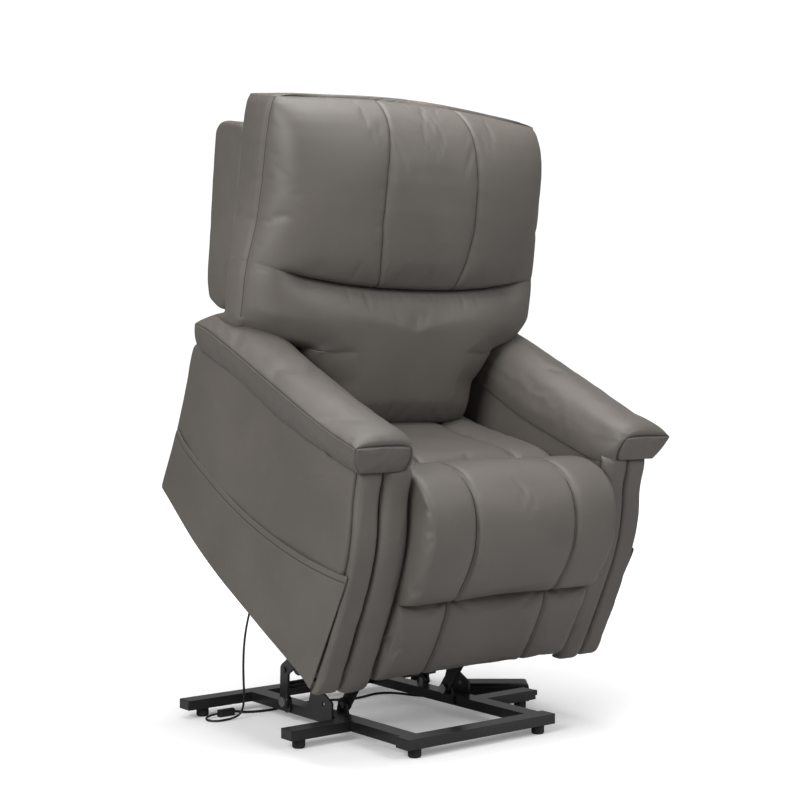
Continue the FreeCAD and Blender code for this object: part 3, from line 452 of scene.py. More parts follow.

# %% [markdown]
# The base is powder-coated black steel: dark, satin, with a fine orange peel and a few lighter, smoother
# specks where shoes and boxes have rubbed it. Zinc, wood, rubber and moulded plastic follow the same
# plan, each with its own grain at its own size.

# %% Steel, zinc, plastic, rubber, wood and cloth
def make_coated(name, base, second, rough, peel=260.0, metal=0.0, depth=0.0003, speckle=0.15):
    """A hard finish: two tones in slow patches, fine peel and a few rubbed specks."""
    material, shader, place = start_material(name)
    patch, fine, speck = place.noise(9.0, 4.0), place.noise(peel, 2.0), place.noise(75.0, 5.0, Roughness=0.7)
    rub = speck.ramp(0.64, 0.72)
    colour = patch.ramp(0.35, 0.65).blend(base, second)
    colour = (rub * speckle).blend(colour, tuple(min(1, v * 2.2 + 0.02) for v in second))
    roughness = rough + patch * 0.08 - rub * 0.05
    connect(shader, Base_Color=colour, Roughness=roughness, Metallic=metal, Normal=fine.bump(0.25, depth))
    return material


black_steel = make_coated("black powder-coated steel", (0.010, 0.010, 0.011), (0.017, 0.017, 0.018), 0.26)
connect(black_steel.node_tree.nodes["Principled BSDF"], Coat_Weight=0.12, Coat_Roughness=0.12)
zinc = make_coated("bright zinc", (0.52, 0.53, 0.54), (0.42, 0.43, 0.45), 0.28, 500.0, 1.0, 0.0001, 0.3)
spring_steel = make_coated("dull spring steel", (0.22, 0.22, 0.23), (0.15, 0.15, 0.16), 0.38, 420.0, 1.0)
motor_plastic = make_coated("motor casing", (0.014, 0.014, 0.015), (0.020, 0.020, 0.022), 0.42, 900.0)
black_plastic = make_coated("black moulded plastic", (0.012, 0.012, 0.013), (0.018, 0.018, 0.020), 0.34,
                            1200.0)
button_plastic = make_coated("grey button", (0.30, 0.30, 0.31), (0.24, 0.24, 0.25), 0.5, 900.0)
black_rubber = make_coated("black rubber", (0.012, 0.012, 0.012), (0.020, 0.020, 0.019), 0.72, 380.0,
                           depth=0.0005)
lead_rubber = make_coated("lead sheath", (0.010, 0.010, 0.010), (0.016, 0.016, 0.016), 0.45, 700.0)


def make_wood(name):
    material, shader, place = start_material(name)
    long = place.node("ShaderNodeMapping", None, {"Vector": place, "Scale": (4.0, 26.0, 26.0)})
    ring, fibre = long.noise(3.0, 6.0, Roughness=0.6, Distortion=1.2), long.noise(28.0, 3.0)
    colour = ring.ramp(0.35, 0.65).blend((0.40, 0.26, 0.14), (0.24, 0.14, 0.07))
    colour = (fibre.ramp(0.5, 0.7) * 0.4).blend(colour, (0.50, 0.35, 0.20))
    connect(shader, Base_Color=colour, Roughness=0.62 + fibre * 0.15,
            Normal=(ring + fibre * 0.5).bump(0.35, 0.0008))
    return material


def make_woven(name, base, second, pitch):
    """A plain weave of this pitch in metres."""
    material, shader, place = start_material(name)
    over, under = [place.node("ShaderNodeTexWave", {"bands_direction": bands},
                              {"Vector": place, "Scale": 0.32 / pitch, "Distortion": 0.6, "Detail": 1.0})
                   for bands in "XZ"]
    slub = place.noise(55.0, 4.0)
    weave = over * under
    colour = (weave * 0.6 + slub * 0.4).ramp(0.2, 0.8).blend(base, second)
    connect(shader, Base_Color=colour, Roughness=0.86 + slub * 0.1,
            Normal=(weave + slub * 0.4).bump(0.5, 0.0006))
    return material


wood = make_wood("sawn hardwood")
dust_cloth = make_woven("black dust cloth", (0.012, 0.012, 0.013), (0.030, 0.030, 0.032), 0.0012)

# %% [markdown]
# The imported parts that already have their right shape, such as tubes, plates, links and wooden boards,
# only need a finish. The record says which finish each node has, so a table of slots does the work.

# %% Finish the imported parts
SLOT_FINISH = {
    "black_steel": black_steel, "zinc_plated_steel": zinc, "spring_steel": spring_steel,
    "motor_casing": motor_plastic, "black_plastic": black_plastic, "black_rubber": black_rubber,
    "lead_sheath": lead_rubber, "dust_cloth": dust_cloth, "button_grey": button_plastic,
    "frame_wood": wood, "taupe_leather": plain_leather,
}
for part in frame["record"]["subparts"]:
    node = frame["nodes"][part["node"]]
    node.data.materials.clear()
    node.data.materials.append(SLOT_FINISH[part["material_slot"]])


def dress(obj, material, body, nodes=()):
    """Gives a piece its material and its body, and hides the nodes that it stands for."""
    obj.data.materials.clear()
    obj.data.materials.append(material)
    obj.data.polygons.foreach_set("use_smooth", [True] * len(obj.data.polygons))
    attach(obj, body)
    if nodes:
        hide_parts(*nodes)


def upholster(obj, body, nodes):
    dress(obj, leather, body, nodes)


# %% [markdown]
# The leads are next, since they may not spread out of the picture. Each is a smooth spline through the
# same few points that the solid follows, thin and limp, lying on the floor under its own weight.

# %% Leads
HANGING_LEAD = [
    (-280, 406.1, 350.1), (-280, 419, 325), (-280, 435, 288), (-280, 453, 248), (-279, 469, 208),
    (-277, 480, 167), (-274, 487, 125), (-268, 495, 86), (-260, 505, 52), (-257, 514, 26), (-264, 518, 9),
    (-282, 519.5, 3.5), (-302, 519, 2.6), (-321, 519, 2.5), (-334, 532, 2.5), (-334, 550, 3.2),
    (-321, 563, 5), (-305, 563.6, 7.4), (-292, 563, 8),
]
FLOOR_LEAD = [
    (-252, 563, 8), (-240, 562, 6.2), (-222, 557, 3.2), (-196, 547, 3), (-162, 542, 3), (-122, 549, 3),
    (-80, 560, 3), (-36, 561, 3), (4, 549, 3), (36, 530, 3), (70, 523, 3), (104, 531, 3), (138, 540, 3),
    (168, 529, 3), (187, 502, 3), (197, 471, 3), (208, 442, 4), (225, 421, 7), (243, 407, 11),
    (258.5, 394.8, 12),
]


def make_lead(node, points, radius):
    """A lead that replaces this node, along points in millimetres before the shift along y."""
    points = [(x / 1000, (y + ROW_SHIFT) / 1000, z / 1000) for x, y, z in points]
    name = node + "_sheath"
    curve = bpy.data.curves.new(name, "CURVE")
    curve.dimensions = "3D"
    spline = curve.splines.new("NURBS")
    spline.points.add(len(points) - 1)
    for point, place in zip(spline.points, points):
        point.co = (*place, 1)
    spline.order_u = 3
    spline.use_endpoint_u = True
    spline.resolution_u = 12
    curve.bevel_depth = radius
    curve.bevel_resolution = 4
    curve.use_fill_caps = True
    lead = bpy.data.objects.new(name, curve)
    bpy.context.collection.objects.link(lead)
    curve.materials.append(lead_rubber)
    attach(lead, "lift_base")
    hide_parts(node)


make_lead("hanging_lead", HANGING_LEAD, 0.0025)
make_lead("floor_lead", FLOOR_LEAD, 0.003)

# %% [markdown]
# The back is one wide cushion: a headrest that hangs a little over a lumbar pad, with one boxing round
# both. Two separate pillows would leave a gap at the sides that the real cover doesn't have, so one skin
# is lofted from level rings and the smiling fold is pressed into its front.

# %% Back cushion rings
FOLD = 92
BACK_TOP = 470
EDGE_T = 60
EDGE_ROUND = 44
FINE_STEPS = 1601
SIDE_COUNT, INNER_COUNT, BEHIND_COUNT = 20, 71, 25
WAIST_HALF = 255
SHOULDER_LOW, SHOULDER_HIGH = -50, -10
FRONT_COUNT = 2 * SIDE_COUNT + INNER_COUNT
BACK_HALF = [(-10, 398), (60, 398), (120, 391), (200, 381), (300, 377), (380, 377), (430, 374), (455, 370),
             (470, 362)]
BOXING_END = [(-10, -4), (100, -14), (250, -30), (470, -42)]
WAIST = [(-222, 222), (-214, 236), (-202, 245), (-170, 249), (-100, 250), (-50, 255)]
BACK_DEPTH = [
    (-222, 84), (-219, 108), (-212, 126), (-198, 139), (-172, 147), (-120, 150), (-40, 153), (10, 155),
    (92, 156), (150, 161), (200, 165), (260, 166), (320, 163), (360, 158), (392, 150), (420, 137),
    (440, 120), (454, 101), (463, 83), (470, 64),
]
BACK_SPREAD = [(-222, 262), (-120, 272), (10, 440), (470, 440)]
EDGE_DEPTH = [(-222, 0), (-110, 0), (-10, EDGE_T), (470, EDGE_T)]
HEAD_SEAM = [(92, 104), (150, 118), (230, 128), (330, 126), (410, 118), (470, 110)]


def fold_rise(x):
    """How much higher the fold lies at this x than in the middle."""
    return table([(0, 0), (100, 1), (200, 8), (300, 20), (350, 27), (400, 39)], np.abs(x))


def smooth_share(x, low, high):
    """0 up to low and 1 from high on, smooth between them."""
    k = np.clip((x - low) / (high - low), 0, 1)
    return k * k * (3 - 2 * k)


def back_half(v):
    if v < SHOULDER_LOW:
        return float(table(WAIST, v))
    if v < SHOULDER_HIGH:
        share = (SHOULDER_HIGH - v) / (SHOULDER_HIGH - SHOULDER_LOW)
        return WAIST_HALF + (BACK_HALF[0][1] - WAIST_HALF) * max(0.0, 1 - share ** 3) ** (1 / 3)
    return float(table(BACK_HALF, v))


def round_off(distance, radius):
    """0 at an edge, rising on a quarter circle to 1 at this radius from it."""
    return np.sqrt(1 - (1 - np.clip(distance / radius, 0, 1)) ** 2)


def back_depth(x, v):
    """How far the front stands forward at these x and this height, before the fold."""
    spread = np.abs(x) / float(table(BACK_SPREAD, v))
    body = float(table(BACK_DEPTH, v)) * np.sqrt(np.clip(1 - spread ** 4, 0, 1))
    corner_fill = 70 * np.exp(-((np.abs(x) - 252) / 32) ** 2) * math.exp(-((v - SHOULDER_LOW) / 34) ** 2)
    foot = float(table(EDGE_DEPTH, v)) + corner_fill
    edge = back_half(v) - np.abs(x)
    if SHOULDER_LOW < v < 60:
        share = np.clip((np.abs(x) - WAIST_HALF) / (BACK_HALF[0][1] - WAIST_HALF), 0, 1)
        ledge = SHOULDER_HIGH - (SHOULDER_HIGH - SHOULDER_LOW) * (1 - share ** 3) ** (1 / 3)
        corner = 2.5 * np.hypot(np.maximum(WAIST_HALF - np.abs(x), 0), v - SHOULDER_LOW)
        edge = np.minimum(edge, np.where(np.abs(x) > WAIST_HALF, 2.5 * np.maximum(v - ledge, 0), corner))
    if v < SHOULDER_LOW:
        edge = edge * (1 + 1.5 * float(np.clip(1 - (SHOULDER_LOW - v) / 70, 0, 1)))
    return foot + np.maximum(body - foot, 0) * round_off(edge, EDGE_ROUND)


def back_ring(v):
    """One ring of the back cushion in x, s and t, and its distances to the two kinds of seam."""
    half = back_half(v)
    across = np.linspace(-half, half, FINE_STEPS)
    face = np.stack([across, back_depth(across, v)], 1)
    split = 0.72 * min(half, WAIST_HALF)
    left, inner, right = face[across <= -split], face[np.abs(across) <= split], face[across >= split]
    x, t = np.concatenate([evenly(left, SIDE_COUNT + 1)[:-1], evenly(inner, INNER_COUNT),
                           evenly(right, SIDE_COUNT + 1)[1:]]).T
    away = v - FOLD
    pinch = 46 * math.exp(away / 24) if away < 0 else 32 * math.exp(-away / 8) + 14 * math.exp(-away / 34)
    droop = 9 * math.exp(-((away - 11) / 13) ** 2) if away > 0 else 0
    share = 1 - 0.96 * smooth_share(np.abs(x), 262, 372)
    t = t - np.minimum(pinch * share, np.maximum(t - 20, 0) * 0.6)
    rear = -45 if v > -178 else -45 + (-178 - v) / 44 * 118
    boxing_end = min(float(table(BOXING_END, v)) if v > SHOULDER_HIGH else rear, t[0] - 4)
    rear = min(rear, boxing_end)
    steps = np.linspace(0, 1, 7)[1:]
    bulge = 7 if v > SHOULDER_LOW else 1
    side_x = np.concatenate([half + bulge * np.sin(np.pi * steps), [half - 24, half - 52]])
    side_t = np.concatenate([t[0] + (boxing_end - t[0]) * steps,
                             [boxing_end + (rear - boxing_end) * 0.6, rear]])
    behind = np.linspace(half - 62, 62 - half, BEHIND_COUNT)
    xs = np.concatenate([x, side_x, behind, -side_x[::-1]])
    ts = np.concatenate([t, side_t, np.full(BEHIND_COUNT, float(rear)), side_t[::-1]])
    follow = float(np.clip(1 - abs(away) / 190, 0, 1))
    crown = 22 * float(np.clip((v - 260) / (BACK_TOP - 260), 0, 1)) ** 1.6
    ss = v + follow * fold_rise(xs) + crown * (1 - (xs / 400) ** 2)
    ss[:FRONT_COUNT] -= droop * share
    seam = np.where((ts > 8) & (v > FOLD + 1), np.abs(xs) - float(table(HEAD_SEAM, v)), FAR)
    ring = np.stack([xs, ss, ts], 1)
    arc = np.concatenate([[0], np.cumsum(np.hypot(np.diff(xs), np.diff(ts)))])
    rim = np.minimum(arc, np.abs(arc[FRONT_COUNT - 1] - arc))
    rim[FRONT_COUNT:] = -np.minimum(rim[FRONT_COUNT:], 0.6 + np.abs(ts[FRONT_COUNT:] - t[0]))
    rim[:FRONT_COUNT] = np.minimum(rim[:FRONT_COUNT], np.hypot(BACK_TOP - v, (t - EDGE_T) * 0.6))
    if v < SHOULDER_HIGH:
        rim[:] = FAR
    return ring, seam, np.clip(rim, -FAR, FAR)


back_heights = np.concatenate([
    [-222, -220, -217, -213, -208, -202, -194], np.linspace(-186, -56, 16),
    [-54, -50.2, -49.8, -49, -47.5, -45, -41, -35, -28, -20, -13, -9, -2, 5, 12, 20, 29, 38, 47, 55],
    [63, 69, 74, 79, 83, 86, 88.5, 90.5],
    [92, 93.4, 95, 97, 100, 104, 109, 115, 122], np.linspace(130, 400, 35), np.linspace(407, 448, 7),
    [453, 458, 462, 465, 468, 470]])
rings, seams, rims = zip(*[back_ring(v) for v in back_heights])
back_cushion = skin("back_cushion", rings, seams, rims, ((0, -2, 0), (0, 9, 0)), from_back)
print("back cushion", len(back_cushion.data.vertices), "points")


def to_chair(points):
    """x, a and h in millimetres of row-frame points in millimetres."""
    x, y, z = np.moveaxis(points, -1, 0)
    y, z = y - CHAIR_CORNER[0], z - CHAIR_CORNER[1]
    c, s = math.cos(CHAIR_TILT), math.sin(CHAIR_TILT)
    return np.stack([x, y * c + z * s, -y * s + z * c], -1)


def to_back(points):
    """x, s and t in millimetres of row-frame points in millimetres."""
    x, a, h = np.moveaxis(to_chair(points), -1, 0)
    a, h = a - BACK_FOOT[0], h - BACK_FOOT[1]
    sl, cl = math.sin(BACK_LEAN), math.cos(BACK_LEAN)
    return np.stack([x, a * sl + h * cl, -a * cl + h * sl], -1)


def seated(obj, inverse=to_chair):
    """Where the points of a piece lie in the seated or the back frame."""
    return inverse(places_of(obj.data) * 1000)


def hold(obj, seam_width, *others):
    """Weights that pin the seams, and wherever another weight is given."""
    pins = (seam_distance(obj) < seam_width).astype(float)
    for other in others:
        pins = np.maximum(pins, other)
    return pins


# %% [markdown]
# The fold, the boxing's rear and the underside of the wings stay pinned while the rest swells.

# %% Swell and finish the back cushion
where = seated(back_cushion, to_back)
above_fold = where[:, 1] - FOLD - fold_rise(where[:, 0])
in_fold = ((above_fold > -12) & (above_fold < 6) & (np.abs(where[:, 0]) < 380)).astype(float) * 0.9
hidden = ((where[:, 2] < -16) | (where[:, 1] < -212)).astype(float)
under_wing = ((where[:, 1] < -34) & (np.abs(where[:, 0]) > WAIST_HALF - 6)).astype(float)
swell(back_cushion, hold(back_cushion, 4.5, in_fold, hidden, under_wing), 0.004, 0.004)
refine(back_cushion)
press_seam(back_cushion, 0.0035, 4.5)
upholster(back_cushion, "back", ["headrest_pad", "lumbar_pad"])

# %% [markdown]
# Seat, front roll and lower panel run from side to side, so their rings are upright slices. Near the
# sides a slice draws in, which rounds the pad, and at the two sewn channels it dips.

# %% Pads that run from side to side
SEAM_X = 135


def drawn_in(x, half, reach, amount):
    """How far a slice is drawn in near the side of a pad."""
    k = np.clip((abs(x) - (half - reach)) / reach, 0, 1)
    return amount * (1 - math.sqrt(max(0.0, 1 - k * k)))


def normals_of(ring):
    """Outward directions of a closed slice."""
    ahead = np.roll(ring, -1, 0) - np.roll(ring, 1, 0)
    normal = np.stack([ahead[:, 1], -ahead[:, 0]], 1)
    normal /= np.maximum(np.linalg.norm(normal, axis=1, keepdims=True), 1e-9)
    return -normal if np.sum((ring - ring.mean(0)) * normal) < 0 else normal


def shrink_ring(ring, amounts, keep_height=None):
    """Moves the points of a closed slice inwards; keep_height near 1 holds them at their height."""
    normal = normals_of(ring)
    if keep_height is not None:
        normal = normal * np.stack([np.ones(len(ring)), 1 - np.asarray(keep_height)], 1)
    return ring - normal * np.asarray(amounts)[:, None]


def across_stations(half, reach):
    """Places across a pad, closer at its sides and at its seams."""
    inner = np.arange(0, half - reach, 8.0)
    edge = half - reach + reach * np.sin(np.linspace(0, np.pi / 2, 10))
    right = np.unique(np.concatenate([inner, edge, SEAM_X + np.array([-9, -5, -2, 0, 2, 5, 9])]))
    return np.concatenate([-right[::-1], right[1:]])


def slices_across(half, profile, reach, amount, dip, puff, per=7):
    """Rings of a pad from -half to half. profile gives a, h, softness and how far the height is kept."""
    rings, seams = [], []
    points = np.array(profile, float)
    flat = smooth_line(points[:, :2], per)
    soft, keep = [np.repeat(points[:, k], per) for k in (2, 3)]
    soft = 0.5 * (soft + np.roll(soft, -per // 2))
    for x in across_stations(half, reach):
        off = abs(x) - SEAM_X
        if abs(x) < SEAM_X:
            between_seams = math.cos(abs(x) / SEAM_X * math.pi / 2)
        else:
            between_seams = math.sin((abs(x) - SEAM_X) / (half - SEAM_X) * math.pi) * 0.8
        inset = drawn_in(x, half, reach, amount) + dip * math.exp(-(off / 9) ** 2) - puff * between_seams
        ring = shrink_ring(flat, inset * soft, keep)
        rings.append(np.stack([np.full(len(ring), x), ring[:, 0], ring[:, 1]], 1))
        seams.append(np.where(soft > 0.5, off, FAR))
    return rings, seams


SEAT = [
    (178, 306, 0, 0), (177, 340, .5, 0), (177, 368, 1, 0), (188, 391, 1, 0), (216, 397, 1, 0),
    (262, 390, 1, 0), (340, 366, 1, 0), (420, 344, 1, 0), (500, 328, 1, 0), (560, 317, 1, 0),
    (586, 298, .6, 0), (588, 270, 0, 0), (560, 266, 0, 0), (460, 277, 0, 0), (340, 290, 0, 0),
    (220, 303, 0, 0),
]
rings, seams = slices_across(255, SEAT, 34, 18, dip=4, puff=2)
seat = skin("seat_cushion_cover", rings, seams, None, ((-1, 0, 0), (1, 0, 0)))
where = seated(seat)
below = (where[:, 2] < 312 - (where[:, 1] - 178) * 0.09).astype(float)
swell(seat, hold(seat, 4.0, below, (where[:, 1] > 470).astype(float)), 0.004, 0.006)
refine(seat)
press_seam(seat, 0.0045, 5)
upholster(seat, "chair", ["seat_cushion"])

# %% [markdown]
# The front roll hangs over the leg rest's board like a bolster, with a lip that reaches to the seat.

# %% Front roll
ROLL = [
    (47, 206, 0, 1), (10, 201, .4, 1), (-18, 201, 1, 1), (-37, 216, 1, .7), (-45, 254, 1, .2),
    (-47, 300, 1, 0), (-42, 340, 1, 0), (-28, 376, 1, 0), (-8, 408, 1, 0), (18, 432, 1, 0), (55, 446, 1, 0),
    (96, 446, 1, 0), (132, 435, 1, 0), (158, 417, 1, 0), (171, 396, .8, 0), (170, 379, .2, 0),
    (120, 382, 0, 0), (76, 389, 0, 0), (48, 388, 0, 0), (47.4, 300, 0, 0),
]
rings, seams = slices_across(257, ROLL, 18, 11, dip=3, puff=2, per=6)
roll = skin("legrest_roll_cover", rings, seams, None, ((-1, 0, 0), (1, 0, 0)))
where = seated(roll)
behind = ((where[:, 1] > 30) & (where[:, 2] < 396)).astype(float)
swell(roll, hold(roll, 4.0, behind), 0.004, 0.006)
refine(roll)
press_seam(roll, 0.0045, 5)
upholster(roll, "legrest_pad", ["legrest_roll"])

# %% [markdown]
# The lower panel is a flatter slice of the same kind, below the roll on the same board.

# %% Lower panel
PANEL = [
    (47, 16, 0, 1), (20, 13, .3, 1), (-8, 13, .8, 1), (-22, 22, 1, .6), (-29, 52, 1, 0), (-32, 100, 1, 0),
    (-31, 140, 1, 0), (-28, 170, 1, .3), (-22, 189, 1, 1), (-8, 199, .8, 1), (20, 200, .3, 1),
    (47, 200, 0, 1), (47.4, 120, 0, 0),
]
rings, seams = slices_across(257, PANEL, 16, 8, dip=3, puff=1.5)
panel = skin("legrest_panel_cover", rings, seams, None, ((-1, 0, 0), (1, 0, 0)))
swell(panel, hold(panel, 4.0, (seated(panel)[:, 1] > 20).astype(float)), 0.003, 0.006)
refine(panel)
press_seam(panel, 0.004, 5)
upholster(panel, "legrest_pad", ["legrest_panel"])

# %% [markdown]
# An arm is a padded box: one smooth side panel, a narrow strip and a fat roll down its front, and a
# cap with its own band. All of its outlines are drawn once for the sitter's left arm and mirrored.

# %% Arm outlines
ARM_IN, ARM_OUT = 262, 391
FACE_SETBACK = 24
STRIP_W, ROLL_W = 57, 71
ARM_FRONT = [(-13, -9), (-10, 60), (-6, 130), (-1, 200), (5, 255), (15, 305), (28, 345), (40, 375), (50, 400),
             (59, 430), (67, 466)]


def front_line(count=60):
    """The arm's front, from its foot to the cap, as evenly spaced (a, h)."""
    return evenly(smooth_line(ARM_FRONT, 10, closed=False), count)


def fillet(corners, radius, per=7):
    """A closed outline with its corners rounded."""
    pts = [np.array(c, float) for c in corners]
    out = []
    for i, corner in enumerate(pts):
        before, after = pts[i - 1] - corner, pts[(i + 1) % len(pts)] - corner
        reach = min(radius, np.linalg.norm(before) / 2.2, np.linalg.norm(after) / 2.2)
        start = corner + before / np.linalg.norm(before) * reach
        end = corner + after / np.linalg.norm(after) * reach
        for u in np.linspace(0, 1, per):
            out.append((1 - u) ** 2 * start + 2 * u * (1 - u) * corner + u ** 2 * end)
    return np.array(out)


def closed_evenly(outline, count):
    line = np.concatenate([outline, outline[:1]])
    return evenly(line, count + 1)[:-1]


def ripple(points, size, depth, seed):
    """A slow random height at each point, for leather that is never quite flat."""
    shift = Vector((seed * 7.3, seed * 1.9, seed * 4.1))
    return np.array([noise.fractal(Vector(p) / size + shift, 0.6, 2.1, 3) for p in points]) * depth


def waver(obj, size, depth, seed, stretch=(1, 1, 1)):
    """Moves the skin in and out by a slow ripple."""
    places = places_of(obj.data)
    amount = ripple(places * np.array(stretch), size, depth, seed)
    move_to(obj, places + normals_at(obj) * amount[:, None])


SIDE_RING_COUNT, RIM_STEPS, MIDDLE_STEPS = 150, 9, 8


def side_rings(outline, x0, x1, radius, sign):
    """Rings across an arm from x0 to x1 with rounded rims."""
    count = SIDE_RING_COUNT
    line = closed_evenly(outline, count)
    turn = radius * (1 - np.cos(np.linspace(0, np.pi / 2, RIM_STEPS)))
    flat = np.linspace(x0 + radius, x1 - radius, MIDDLE_STEPS)[1:-1]
    xs = np.concatenate([x0 + turn, flat, x1 - turn[::-1]])
    rings = []
    for x in xs:
        k = max(0.0, 1 - min(x - x0, x1 - x) / radius)
        inset = radius * (1 - math.sqrt(max(0.0, 1 - k * k)))
        ring = shrink_ring(line, np.full(count, inset))
        rings.append(np.stack([np.full(count, x * sign), ring[:, 0], ring[:, 1]], 1))
    return rings


def make_arm_body(side, sign):
    front = front_line(24) + [FACE_SETBACK, 0]
    corners = [(470, 0), (609, 19), (694, 36), (735, 397), (530, 424), (343, 430), (200, 449)]
    outline = fillet([tuple(front[0] - [0, 2])] + corners, 18)
    outline = np.concatenate([outline[7:], front[::-1][:-2]])
    rings = side_rings(outline, ARM_IN + 7, ARM_OUT, 9, sign)
    body = skin("arm_side_" + side, rings, None, None, ((-sign * 1, 0, 0), (sign * 7, 0, 0)), cap_steps=16)
    waver(body, 0.16, 0.0022, 3 if sign > 0 else 5)
    refine(body)
    upholster(body, "chair", ["arm_body_" + side])


def make_band(side, sign, name, x0, x1, proud, square):
    """A padded band down the arm's front: rings across it, each a D with a crowned face."""
    line = front_line(70)
    tangent = np.gradient(line, axis=0)
    tangent /= np.linalg.norm(tangent, axis=1, keepdims=True)
    out = np.stack([-tangent[:, 1], tangent[:, 0]], 1)
    middle, half = (x0 + x1) / 2, (x1 - x0) / 2
    across = np.sin(np.linspace(-np.pi / 2, np.pi / 2, 25))
    back = np.linspace(1, -1, 9)[1:-1]
    rings = []
    for i, (place, normal) in enumerate(zip(line, out)):
        soft = float(round_off(min(i, len(line) - 1 - i), 5))
        height = (np.sqrt(np.clip(1 - np.abs(across) ** square, 0, 1)) * (11 + proud) - 11) - (1 - soft) * 9
        face = place + normal * height[:, None]
        face_x = middle + half * np.sign(across) * np.abs(across) ** 0.9
        rear = [np.full(len(back), v) for v in place + [FACE_SETBACK - 0.4, 0]]
        ring = np.concatenate([np.stack([face_x, face[:, 0], face[:, 1]], 1),
                               np.stack([middle + half * back, *rear], 1)])
        rings.append(ring * [sign, 1, 1])
    band = skin(name + "_" + side, rings, None, None, ((0, 0, -1), (0, 0, 1)))
    where = seated(band)
    held = (where[:, 1] > np.interp(where[:, 2], line[:, 1], line[:, 0]) + 14).astype(float)
    swell(band, held, 0.0015, 0.003)
    waver(band, 0.05, 0.0010, 9, (1, 1, 0.5))
    refine(band)
    node = {"arm_strip": "arm_front_strip_", "arm_front_roll": "arm_roll_"}[name] + side
    upholster(band, "chair", [node])


CAP_FRONT, CAP_REAR, CAP_CLOSING = 62, 692, 7
CAP_STATIONS = [
    (62, 462, 520, 24), (80, 460, 518, 26), (100, 456, 514, 28), (180, 444, 503, 30), (343, 422.5, 492, 32),
    (530, 417, 481, 36), (640, 405, 472, 38), (692, 399, 462, 38),
]
CAP_TOP = [(430, 0), (425, .25), (412, .52), (392, .80), (366, .97), (340, 1.0), (315, .90), (296, .66),
           (282, .30), (274, -.20), (270, -.80)]
CAP_SEAM_POINT = 23  # where the band of cap_section ends and its top begins


def cap_section(low, seam, crown, skirt, sign):
    """Across a cap: flat underside, bulged band, top seam, domed top and rounded inner side."""
    under = np.stack([np.linspace(272, 398, 12), np.full(12, low)], 1)
    rise = np.linspace(0, 1, 12)
    band = np.stack([402 + 28 * rise + 5.5 * np.sin(np.pi * rise), low + (seam - low) * rise], 1)
    top = smooth_line([(x, seam + crown * share) for x, share in CAP_TOP], 4, closed=False)[1:]
    drop = np.linspace(0, 1, 8)[1:-1]
    inner = np.stack([270 - 7 * np.sin(np.pi * drop), top[-1, 1] + (low - skirt - top[-1, 1]) * drop], 1)
    ring = np.concatenate([under, band, top, inner])
    arc = np.concatenate([[0], np.cumsum(np.linalg.norm(np.diff(ring, axis=0), axis=1))])
    near = np.clip(arc - arc[CAP_SEAM_POINT], -FAR, FAR)
    near[:len(under)] = FAR
    return ring * [sign, 1], near


def make_cap(side, sign):
    smooth = smooth_line(CAP_STATIONS, 24, closed=False)
    along = np.concatenate([CAP_FRONT + np.array([0, 0.8, 2, 4, 7, 11, 16, 22, 29, 37]),
                            np.linspace(110, 658, 48), CAP_REAR - np.array([24, 17, 11, 7, 4, 2, 0.8, 0])])
    rings, seams, rims = [], [], []
    for a in along:
        low, seam, crown = [np.interp(a, smooth[:, 0], smooth[:, k]) for k in (1, 2, 3)]
        end = min(a - CAP_FRONT, CAP_REAR - a)
        ring, near = cap_section(low, seam, crown * (0.06 + 0.94 * float(round_off(end, 38))),
                                 30 * float(round_off(end, 60)), sign)
        inside = np.clip((340 - np.abs(ring[:, 0])) / 60, 0, 1)
        ring[:, 0] += sign * inside * 24 * (1 - float(round_off(a - CAP_FRONT, 60)))
        rings.append(np.stack([ring[:, 0], np.full(len(ring), a), ring[:, 1]], 1))
        seams.append(near)
        rims.append(np.full(len(ring), min(end, FAR - 2)))
    cap = skin("arm_cap_cover_" + side, rings, seams, rims, ((0, -4, 0), (0, 4, 0)), cap_steps=CAP_CLOSING)
    where = seated(cap)
    low_at = np.interp(where[:, 1], smooth[:, 0], smooth[:, 1])
    under = (where[:, 2] < low_at + 3).astype(float)
    swell(cap, hold(cap, 4.0, under), 0.003, 0.004)
    waver(cap, 0.07, 0.0012, 12 + sign)
    refine(cap)
    press_seam(cap, 0.0025, 4)
    upholster(cap, "chair", ["arm_cap_" + side])
    first, points = CAP_CLOSING - 1, len(rings[0])
    return row_of_points(cap, [(first + i) * points + CAP_SEAM_POINT - 1 for i in range(2, len(rings) - 2)])


POCKET_STATIONS = [
    (4, -6, 268, 0), (40, 1, 254, 0.25), (120, 3, 230, 0.7), (202, 3, 211, 1), (300, 3, 194, 1),
    (400, 3, 183, 0.8), (520, 11, 179, 0.5), (660, 34, 186, 0.2), (700, 40, 197, 0),
]
POCKET_T = 3


